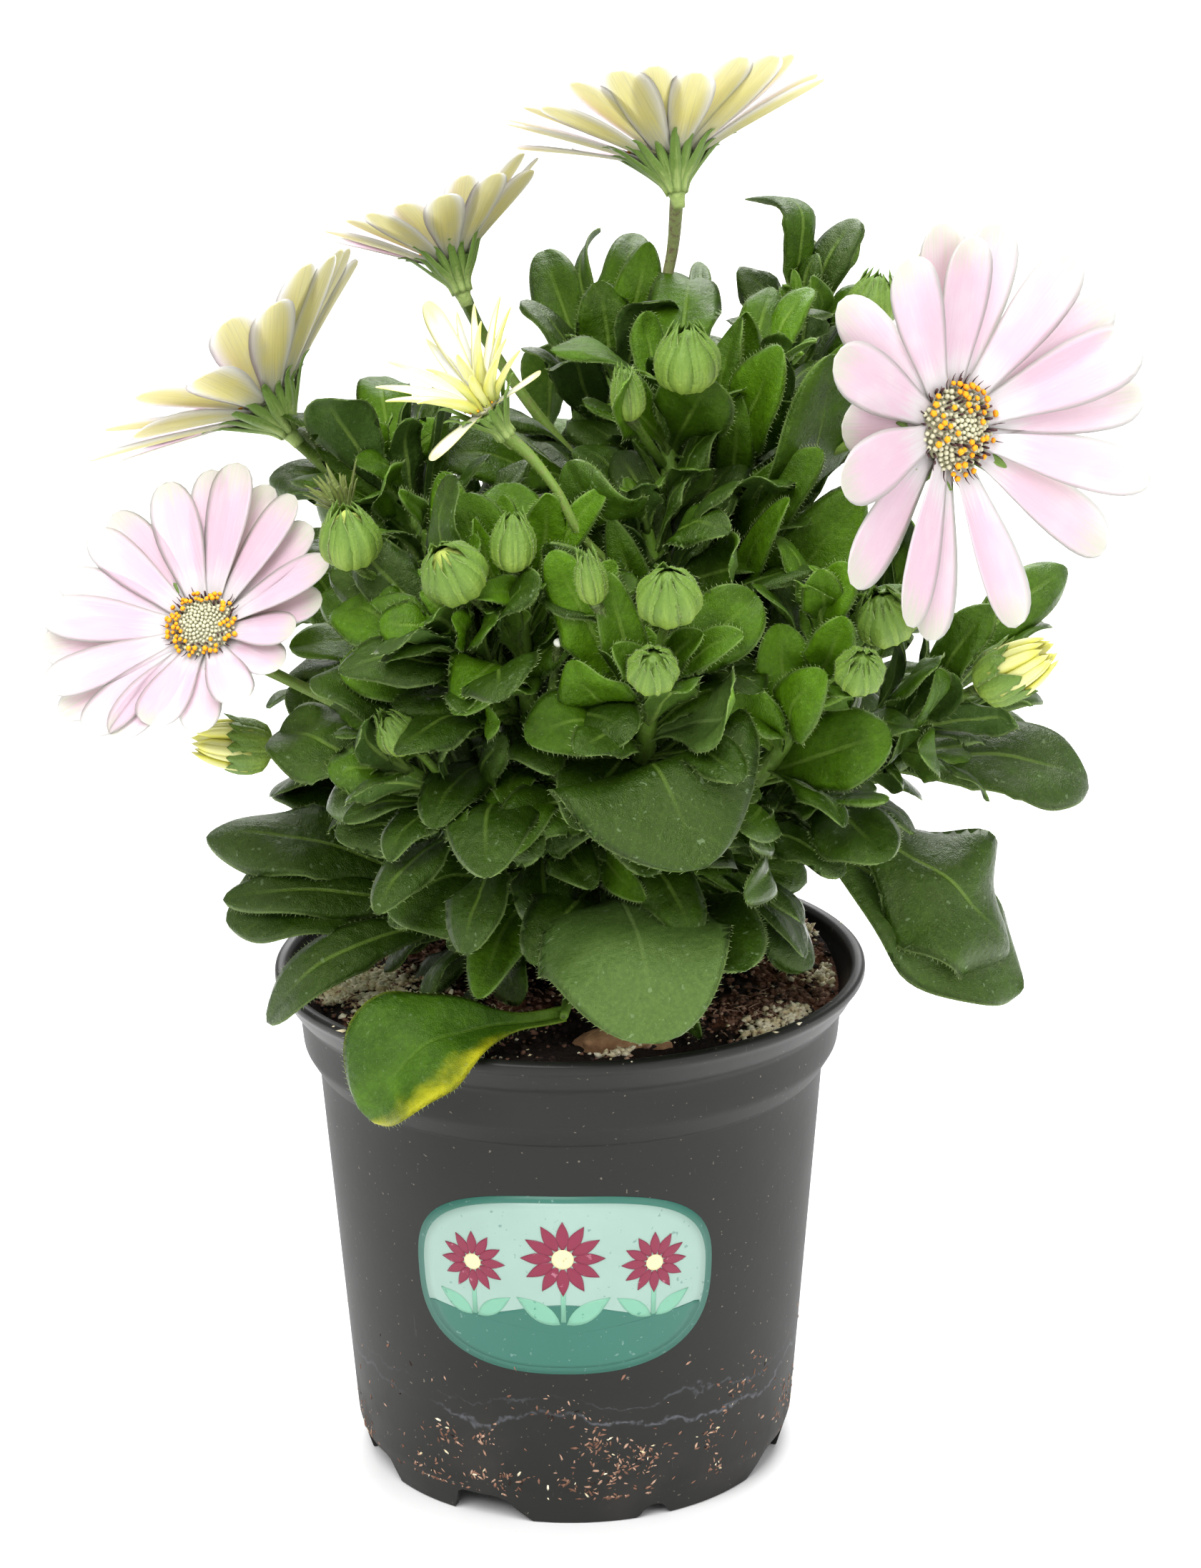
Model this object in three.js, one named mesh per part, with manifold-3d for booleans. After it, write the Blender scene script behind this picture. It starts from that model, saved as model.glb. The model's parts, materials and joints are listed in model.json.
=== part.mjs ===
// A flowering osteospermum (Cape daisy) growing in a round nursery pot.
// Units are millimetres and +Z is up. The sizes and places below are measured from the middle of the pot's
// base on the ground; the finished group is then moved so that its origin is the middle of the whole plant.
import * as THREE from 'three';
import { mergeVertices } from 'three/addons/utils/BufferGeometryUtils.js';
import Module from 'manifold-3d';

const wasm = await Module();
wasm.setup();
const { Manifold, Mesh: SolidMesh } = wasm;

// ---- driving dimensions ----------------------------------------------------
const POT_HEIGHT = 106;          // ground to the top of the lip
const RIM_RADIUS = 60;           // outside of the lip: a 12 cm pot
const COLLAR_RADIUS = 55.2;      // outside of the collar under the lip
const WALL_TOP_RADIUS = 51.4;    // tapered wall where it meets the collar
const WALL_FOOT_RADIUS = 45.2;   // tapered wall just above the feet
const FOOT_RADIUS = 42.7;        // outside of the feet on the ground
const COLLAR_BOTTOM = 86;        // height of the step under the collar
const LIP_BOTTOM = 98;           // height where the lip flares out of the collar
const FLOOR_HEIGHT = 6;          // underside of the pot's floor
const WALL = 1.2;                // wall thickness
const NOTCH_DEPTH = 6;           // height of the openings between the feet
const SOIL_LEVEL = 102.6;        // usual height of the potting mix
const GAP = 0.3;                 // clearance left between neighbouring pieces
const LEAF_THICKNESS = 1.4;      // leaf blade at its midrib
const RAY_THICKNESS = 1.0;       // petal blade at its middle
const POT_SIDES = 30;
const THIN_STEM = 1.5;           // stalks of a smaller radius have fewer sides

// ---- colours ---------------------------------------------------------------
const PLASTIC = { color: 0x3a3c42, roughness: 0.42 };
const PEAT = { color: 0x3a261b, roughness: 0.95 };
const WOOD = { color: 0x6b5a3a, roughness: 0.85 };
const FOLIAGE = { color: 0x2f5f24, roughness: 0.5 };
const PETAL = { color: 0xf3dcea, roughness: 0.6 };
const FLORETS = { color: 0xc98f2b, roughness: 0.8 };
const BRACT = { color: 0x5c8f3c, roughness: 0.6 };
const BUD_GREEN = { color: 0x86a84a, roughness: 0.6 };

// ---- small helpers ---------------------------------------------------------
const vec = (p) => new THREE.Vector3(p[0], p[1], p[2]);

// Facing letters: the side that a leaf's upper face looks to.
const SIDES = { F: [0, -1, 0.2], B: [0, 1, 0.2], L: [-1, 0, 0], R: [1, 0, 0], U: [0, 0, 1], D: [0, 0, -1] };

function facing(letters) {
  const sum = new THREE.Vector3();
  for (const letter of letters) {
    sum.add(vec(SIDES[letter]));
  }
  return sum.normalize();
}

// Repeatable scatter between 0 and 1, the same for the same seed.
function scatter(seed) {
  const value = Math.sin(seed * 12.9898) * 43758.5453;
  return value - Math.floor(value);
}

// Builds an indexed geometry from a list of points and a list of polygons.
function polyhedron(points, faces) {
  const geometry = new THREE.BufferGeometry();
  geometry.setAttribute('position', new THREE.Float32BufferAttribute(points.flat(), 3));
  const index = [];
  for (const face of faces) {
    for (let i = 1; i + 1 < face.length; i += 1) {
      index.push(face[0], face[i], face[i + 1]);
    }
  }
  geometry.setIndex(index);
  return geometry;
}

function toSolid(geometry) {
  const bare = geometry.clone();
  bare.deleteAttribute('normal');
  bare.deleteAttribute('uv');
  const merged = mergeVertices(bare, 1e-4);
  const solid = new Manifold(new SolidMesh({
    numProp: 3,
    vertProperties: new Float32Array(merged.attributes.position.array),
    triVerts: new Uint32Array(merged.index.array),
  }));
  return solid.volume() < 0 ? toSolid(flipped(geometry)) : solid;
}

function flipped(geometry) {
  const turned = geometry.clone();
  const index = turned.index.array;
  for (let i = 0; i < index.length; i += 3) {
    [index[i], index[i + 1]] = [index[i + 1], index[i]];
  }
  return turned;
}

function toGeometry(solid) {
  const mesh = solid.getMesh();
  const geometry = new THREE.BufferGeometry();
  geometry.setAttribute('position', new THREE.Float32BufferAttribute(mesh.vertProperties, 3));
  geometry.setIndex(Array.from(mesh.triVerts));
  geometry.computeVertexNormals();
  return geometry;
}

// A union is worked out once, here, so that the pieces that use it don't each work it out again.
function joined(solids) {
  const whole = Manifold.union(solids);
  whole.status();
  return whole;
}

const cutBy = (solid, cutters) => solid.subtract(joined(cutters));

function largestPiece(solid) {
  const pieces = solid.decompose();
  return pieces.reduce((best, piece) => (piece.volume() > best.volume() ? piece : best));
}

function lathe(profile, sides) {
  const points = profile.map(([radius, height]) => new THREE.Vector2(radius, height));
  const geometry = new THREE.LatheGeometry(points, sides);
  geometry.rotateX(Math.PI / 2);
  return geometry;
}

// A frame whose Z looks along a direction.
function frameAlong(origin, direction) {
  const turn = new THREE.Quaternion().setFromUnitVectors(new THREE.Vector3(0, 0, 1), direction);
  return new THREE.Matrix4().compose(origin, turn, new THREE.Vector3(1, 1, 1));
}

// A stem along a smooth path through points, made longer at its last point by grow.
// Thin ones have four sides, shoots six.
function stem(points, radius, steps, grow) {
  const stations = points.map(vec);
  const [before, last] = stations.slice(-2);
  last.addScaledVector(last.clone().sub(before).normalize(), grow);
  const path = new THREE.CatmullRomCurve3(stations);
  const outline = new THREE.Shape();
  outline.absarc(0, 0, radius + grow, 0, Math.PI * 2);
  const geometry = new THREE.ExtrudeGeometry(outline, {
    steps, extrudePath: path, curveSegments: radius < THIN_STEM ? 2 : 3, bevelEnabled: false,
  });
  return geometry;
}

// ---- pot -------------------------------------------------------------------
const outerProfile = [
  [FOOT_RADIUS, 0], [WALL_FOOT_RADIUS, 8],
  [WALL_TOP_RADIUS, COLLAR_BOTTOM - 0.5], [WALL_TOP_RADIUS + 0.6, COLLAR_BOTTOM],
  [COLLAR_RADIUS - 0.8, COLLAR_BOTTOM + 4], [COLLAR_RADIUS, LIP_BOTTOM],
  [RIM_RADIUS, POT_HEIGHT - 2], [RIM_RADIUS, POT_HEIGHT - 0.6], [RIM_RADIUS - 0.8, POT_HEIGHT],
  [RIM_RADIUS - 2, POT_HEIGHT],
];
const innerProfile = [
  [RIM_RADIUS - 2.8, POT_HEIGHT - 1], [COLLAR_RADIUS - WALL, LIP_BOTTOM + 0.5],
  [COLLAR_RADIUS - 0.8 - WALL, COLLAR_BOTTOM + 4.4], [WALL_TOP_RADIUS - WALL, COLLAR_BOTTOM - 0.4],
  [WALL_FOOT_RADIUS - 1.5 * WALL, FLOOR_HEIGHT + WALL],
  [0, FLOOR_HEIGHT + WALL], [0, FLOOR_HEIGHT], [WALL_FOOT_RADIUS - 3, FLOOR_HEIGHT], [FOOT_RADIUS - WALL, 0],
];

const NOTCHES = 8;               // openings between the feet, evenly round the base
const FIRST_NOTCH = 22;          // bearing of the first one, degrees from +X
const WIDE_NOTCH = 17;           // width of most openings
const NARROW_NOTCH = 6;          // width of the two small ones
const DRAIN_RADIUS = 4;
const DRAIN_RING = 27;

function potSolid() {
  let pot = toSolid(lathe([...outerProfile, ...innerProfile, outerProfile[0]], POT_SIDES));
  for (let i = 0; i < NOTCHES; i += 1) {
    const small = i % 4 === 2;
    const width = small ? NARROW_NOTCH : WIDE_NOTCH;
    const depth = small ? NOTCH_DEPTH / 2 : NOTCH_DEPTH - 0.4;
    const bearing = THREE.MathUtils.degToRad(FIRST_NOTCH + i * (360 / NOTCHES));
    const cut = polyhedron(
      [[30, -width / 2, -1], [50, -width / 2, -1], [50, width / 2, -1], [30, width / 2, -1],
        [30, -width / 2 + 1.5, depth], [50, -width / 2 + 1.5, depth],
        [50, width / 2 - 3, depth], [30, width / 2 - 3, depth]],
      [[0, 3, 2, 1], [4, 5, 6, 7], [0, 1, 5, 4], [1, 2, 6, 5], [2, 3, 7, 6], [3, 0, 4, 7]],
    );
    cut.rotateZ(bearing);
    pot = pot.subtract(toSolid(cut));
    const drain = new THREE.CylinderGeometry(DRAIN_RADIUS, DRAIN_RADIUS, 6, 10);
    drain.rotateX(Math.PI / 2);
    drain.translate(DRAIN_RING * Math.cos(bearing), DRAIN_RING * Math.sin(bearing), FLOOR_HEIGHT + WALL / 2);
    pot = pot.subtract(toSolid(drain));
  }
  return pot;
}

// ---- potting mix -----------------------------------------------------------
const MOUNDS = [[38, 36, 24, 5.0], [-30, -8, 20, 1.6], [8, -44, 14, 1.2]];   // x, y, spread, height
const SOIL_HOLLOWS = [[50, -4, 14, 2.2], [-4, -46, 10, 1.5]];

function soilHeight(x, y) {
  let height = SOIL_LEVEL;
  for (const [mx, my, spread, rise] of MOUNDS) {
    height += rise * Math.exp(-((x - mx) ** 2 + (y - my) ** 2) / spread ** 2);
  }
  for (const [hx, hy, spread, fall] of SOIL_HOLLOWS) {
    height -= fall * Math.exp(-((x - hx) ** 2 + (y - hy) ** 2) / spread ** 2);
  }
  return height;
}

// Rings from the top's middle out to the wall, then down the wall to the floor.
function soilGeometry(grow) {
  const sides = 24;
  const clear = GAP + 0.5 - grow;
  const rings = [18, 36, 48, 54.4 - clear].map((radius) => ({ radius, top: true }));
  rings.push({ radius: WALL_TOP_RADIUS - WALL - clear, height: 84 });
  rings.push({ radius: WALL_FOOT_RADIUS - WALL - clear, height: 10 });
  rings.push({ radius: WALL_FOOT_RADIUS - 3 * WALL - clear, height: FLOOR_HEIGHT + WALL + GAP - grow });
  const points = [[0, 0, soilHeight(0, 0) + grow]];
  for (const ring of rings) {
    for (let i = 0; i < sides; i += 1) {
      const angle = (i / sides) * Math.PI * 2;
      const x = ring.radius * Math.cos(angle);
      const y = ring.radius * Math.sin(angle);
      points.push([x, y, ring.top ? soilHeight(x, y) + grow : ring.height]);
    }
  }
  points.push([0, 0, FLOOR_HEIGHT + WALL + GAP - grow]);
  const faces = [];
  const last = points.length - 1;
  const lastRing = 1 + (rings.length - 1) * sides;
  for (let i = 0; i < sides; i += 1) {
    const next = (i + 1) % sides;
    faces.push([0, 1 + i, 1 + next]);
    for (let r = 0; r + 1 < rings.length; r += 1) {
      const a = 1 + r * sides;
      const b = a + sides;
      faces.push([a + i, b + i, b + next], [a + i, b + next, a + next]);
    }
    faces.push([last, lastRing + next, lastRing + i]);
  }
  return polyhedron(points, faces);
}

// ---- leaves ----------------------------------------------------------------
// Spoon-shaped outlines: part of the length, and part of the half width there.
const BROAD_OUTLINE = [[0, 0.14], [0.34, 0.34], [0.62, 0.94], [0.87, 0.86]];
const SMALL_OUTLINE = [[0, 0.2], [0.4, 0.5], [0.78, 1]];
const BROAD_LEAF = 16;           // leaves at least this wide have the broad outline
const NARROWEST_LEAF = 7;        // narrower ones, at the growing tips, are too slight to be solid here
const STALK_HALF_WIDTH = 1.1;
const TIP_GROWTH = 4;            // a thin tip grows this much further ahead than sideways

// A leaf from its base to its tip. arch lifts it towards the upper face, most at two thirds of its length.
function leafGeometry(base, tip, width, arch, upper, grow) {
  const run = tip.clone().sub(base);
  const along = run.clone().normalize();
  const normal = upper.clone().addScaledVector(along, -upper.dot(along)).normalize();
  const across = new THREE.Vector3().crossVectors(along, normal);
  const outline = width < BROAD_LEAF ? SMALL_OUTLINE : BROAD_OUTLINE;
  const points = [];
  const middle = new THREE.Vector3();
  for (const [part, share] of outline) {
    const lifted = arch * 6.75 * part * part * (1 - part);
    const back = part === 0 ? grow : 0;
    middle.copy(base).addScaledVector(run, part).addScaledVector(normal, lifted).addScaledVector(along, -back);
    const half = Math.max(share * width / 2, STALK_HALF_WIDTH) + grow;
    const thick = LEAF_THICKNESS / 2 + grow;
    for (const [side, lift] of [[-half, 0], [0, -thick], [half, 0], [0, thick]]) {
      points.push(middle.clone().addScaledVector(across, side).addScaledVector(normal, lift).toArray());
    }
  }
  const ahead = tip.clone().sub(middle).normalize();
  points.push(tip.clone().addScaledVector(ahead, TIP_GROWTH * grow).toArray());
  const faces = [[0, 1, 2, 3]];
  const rings = outline.length;
  for (let r = 0; r + 1 < rings; r += 1) {
    for (let k = 0; k < 4; k += 1) {
      const a = r * 4 + k;
      const b = r * 4 + ((k + 1) % 4);
      faces.push([a, a + 4, b + 4], [a, b + 4, b]);
    }
  }
  const lastRing = (rings - 1) * 4;
  for (let k = 0; k < 4; k += 1) {
    faces.push([lastRing + k, rings * 4, lastRing + ((k + 1) % 4)]);
  }
  return polyhedron(points, faces);
}

// ---- flowers ---------------------------------------------------------------
// centre of the disc, the way the flower looks, petal length from the centre,
// how far the petals rise out of the flower's plane (degrees), number of petals,
// and the stalk's points from under the flower back to the shoot that bears it
const FLOWERS = {
  top: { centre: [21, 2, 269], looks: [-0.16, 0.37, 0.92], reach: 33, cup: 25, rays: 22,
    stalk: [[21, 6, 248], [17, 8, 234], [9, 6, 222]] },
  upper_left: { centre: [-22, 6, 249], looks: [-0.33, 0.25, 0.91], reach: 26, cup: 34, rays: 20,
    stalk: [[-16, 10, 233], [-6, 8, 218], [9, 5, 200]] },
  left: { centre: [-57, -15, 225], looks: [-0.62, 0.22, 0.75], reach: 35, cup: 25, rays: 21,
    stalk: [[-48, -14, 214], [-40, -18, 207], [-28, -25, 196]] },
  low_left: { centre: [-67, -52, 191], looks: [-0.21, -0.71, 0.66], reach: 30, cup: 16, rays: 22,
    stalk: [[-58, -37, 179], [-42, -38, 171], [-22, -46, 164], [-13, -44, 150]] },
  right: { centre: [72, -48, 227], looks: [0.6, -0.75, 0.16], reach: 40, cup: 17, rays: 19,
    stalk: [[60, -33, 222], [49, -28, 217], [38, -24, 208], [28, -20, 192]] },
  half_open: { centre: [-14, -57, 234], looks: [-0.5, -0.3, 0.8], reach: 21, cup: 52, rays: 16,
    stalk: [[-6, -58, 225], [-1, -61, 219], [3, -61, 211], [11, -52, 200], [16, -45, 190]] },
};
const DISC_SHARE = 0.2;          // disc radius as part of the petal length
const CUP_DEPTH = 9;             // bract cup from its stalk to the petals
const STALK_RADIUS = 1.2;
const PETAL_NOTCH = 0.66;        // petals are apart beyond this part of their length

function flowerFrame(flower) {
  return frameAlong(vec(flower.centre), vec(flower.looks).normalize());
}

// One ring of petals: joined at the middle, apart towards their tips.
function raysGeometry(flower, grow) {
  const { reach, cup, rays } = flower;
  const rise = THREE.MathUtils.degToRad(cup);
  const samples = 3 * rays;
  const thick = RAY_THICKNESS / 2 + grow;
  const inner = reach * DISC_SHARE * 0.7;
  const points = [];
  for (let i = 0; i < samples; i += 1) {
    const ray = Math.floor(i / 3);
    const place = [0, 0.27, 0.73][i % 3];
    const angle = ((ray + place) / rays) * Math.PI * 2;
    const isGap = i % 3 === 0;
    const length = (isGap ? reach * PETAL_NOTCH : reach + grow) - inner;
    const radius = inner + length * Math.cos(rise);
    points.push([inner * Math.cos(angle), inner * Math.sin(angle), thick]);
    points.push([inner * Math.cos(angle), inner * Math.sin(angle), -thick]);
    points.push([radius * Math.cos(angle), radius * Math.sin(angle), length * Math.sin(rise)]);
  }
  const faces = [];
  for (let i = 0; i < samples; i += 1) {
    const a = i * 3;
    const b = ((i + 1) % samples) * 3;
    faces.push([a, a + 2, b + 2], [a, b + 2, b]);
    faces.push([a + 1, b + 1, b + 2], [a + 1, b + 2, a + 2]);
    faces.push([a, b, b + 1], [a, b + 1, a + 1]);
  }
  return polyhedron(points, faces).applyMatrix4(flowerFrame(flower));
}

function discGeometry(flower, grow) {
  const radius = flower.reach * DISC_SHARE;
  const floor = RAY_THICKNESS / 2 + GAP;
  const edge = floor + radius * Math.tan(THREE.MathUtils.degToRad(flower.cup)) * 0.5;
  const profile = [[0, floor - grow], [radius * 0.6, floor - grow], [radius + grow, edge + 0.3 - grow],
    [radius * 0.8 + grow, edge + 1.6 + grow], [0, edge + 2.2 + grow]];
  return lathe(profile, 12).applyMatrix4(flowerFrame(flower));
}

function cupGeometry(flower, grow) {
  const top = -RAY_THICKNESS / 2 - GAP + grow;
  const rim = flower.reach * DISC_SHARE * 0.75 + grow;
  const profile = [[0, -CUP_DEPTH], [STALK_RADIUS + 0.4 + grow, -CUP_DEPTH], [rim * 0.75, -CUP_DEPTH * 0.55],
    [rim, -2.2], [rim * 0.9, top], [0, top]];
  return lathe(profile, 10).applyMatrix4(flowerFrame(flower));
}

function flowerStalk(flower, grow) {
  const looks = vec(flower.looks).normalize();
  const under = vec(flower.centre).addScaledVector(looks, -CUP_DEPTH * 0.7);
  const points = [under.toArray(), ...flower.stalk];
  return [cupGeometry(flower, grow), stem(points, STALK_RADIUS, points.length + 1, grow)];
}

// ---- buds ------------------------------------------------------------------
// middle of the bud, the way it points, diameter, length,
// and the stalk's points back to the shoot that bears it
const BUDS = {
  top: { at: [23, -50, 241], points: [0, -0.25, 1], wide: 12, long: 13, stalk: [[22, -42, 233], [20, -28, 226]] },
  top_slim: { at: [12, -52, 235], points: [-0.1, -0.2, 1], wide: 6, long: 11, stalk: [[14, -46, 227], [19, -31, 216]] },
  front_left: { at: [-20, -72, 207], points: [-0.35, -0.5, 0.8], wide: 12, long: 12,
    stalk: [[-15, -66, 199], [-10, -58, 190], [-7, -52, 180]] },
  front_left_young: { at: [-9, -70, 212], points: [0, -0.2, 1], wide: 8, long: 12, stalk: [[-8, -66, 205], [-8, -58, 195]] },
  front: { at: [19, -82, 205], points: [-0.05, -0.45, 0.9], wide: 11.5, long: 11.5, stalk: [[18, -76, 196], [16, -67, 183]] },
  front_low: { at: [16, -88, 193], points: [0, -0.7, 0.7], wide: 9, long: 9, stalk: [[16, -82, 188], [15, -67, 179]] },
  front_slim: { at: [5, -77, 207], points: [-0.15, -0.2, 1], wide: 5.5, long: 11, stalk: [[8, -75, 198], [15, -66, 178]] },
  left: { at: [-39, -62, 211], points: [-0.1, -0.3, 1], wide: 11, long: 12.5, stalk: [[-36, -56, 202], [-27, -27, 196]] },
  low_left: { at: [-63, -36, 163], points: [-0.95, -0.15, 0.15], wide: 10.5, long: 14, stalk: [[-52, -36, 161], [-42, -44, 163], [-30, -57, 165]] },
  right: { at: [84, -45, 179], points: [0.75, -0.25, 0.5], wide: 11, long: 15, stalk: [[76, -39, 173], [66, -31, 164]] },
  right_front: { at: [59, -62, 195], points: [-0.2, -0.5, 0.8], wide: 11, long: 11, stalk: [[57, -57, 187], [47, -51, 178]] },
  right_low: { at: [54, -73, 188], points: [0.1, -0.7, 0.7], wide: 9, long: 9, stalk: [[52, -67, 182], [45, -52, 174]] },
  right_high: { at: [61, 10, 239], points: [0.2, -0.1, 1], wide: 10, long: 11, stalk: [[57, 14, 230], [47, 20, 220]] },
  behind_right: { at: [74, 30, 239], points: [0.3, 0.1, 1], wide: 9, long: 14, stalk: [[68, 27, 228], [47, 21, 214]] },
  inner_left: { at: [-31, -67, 175], points: [-0.45, -0.4, 0.8], wide: 8, long: 9, stalk: [[-27, -61, 169], [-20, -54, 158]] },
};
const BUD_STALK_RADIUS = 0.9;

function budSolids(bud, grow) {
  const axis = vec(bud.points).normalize();
  const frame = frameAlong(vec(bud.at), axis);
  const half = bud.long / 2 + grow;
  const wide = bud.wide / 2 + grow;
  const profile = [[0, -half], [wide * 0.7, -half * 0.8], [wide, -half * 0.1], [wide * 0.7, half * 0.66], [0, half]];
  const foot = vec(bud.at).addScaledVector(axis, -bud.long * 0.35).toArray();
  const points = [foot, ...bud.stalk];
  return [lathe(profile, 7).applyMatrix4(frame), stem(points, BUD_STALK_RADIUS, points.length, grow)];
}

// ---- the leafy shoots ------------------------------------------------------
const CROWN_TOP = [3, -3, 112];
const CROWN_RADIUS = 5.5;

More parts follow.
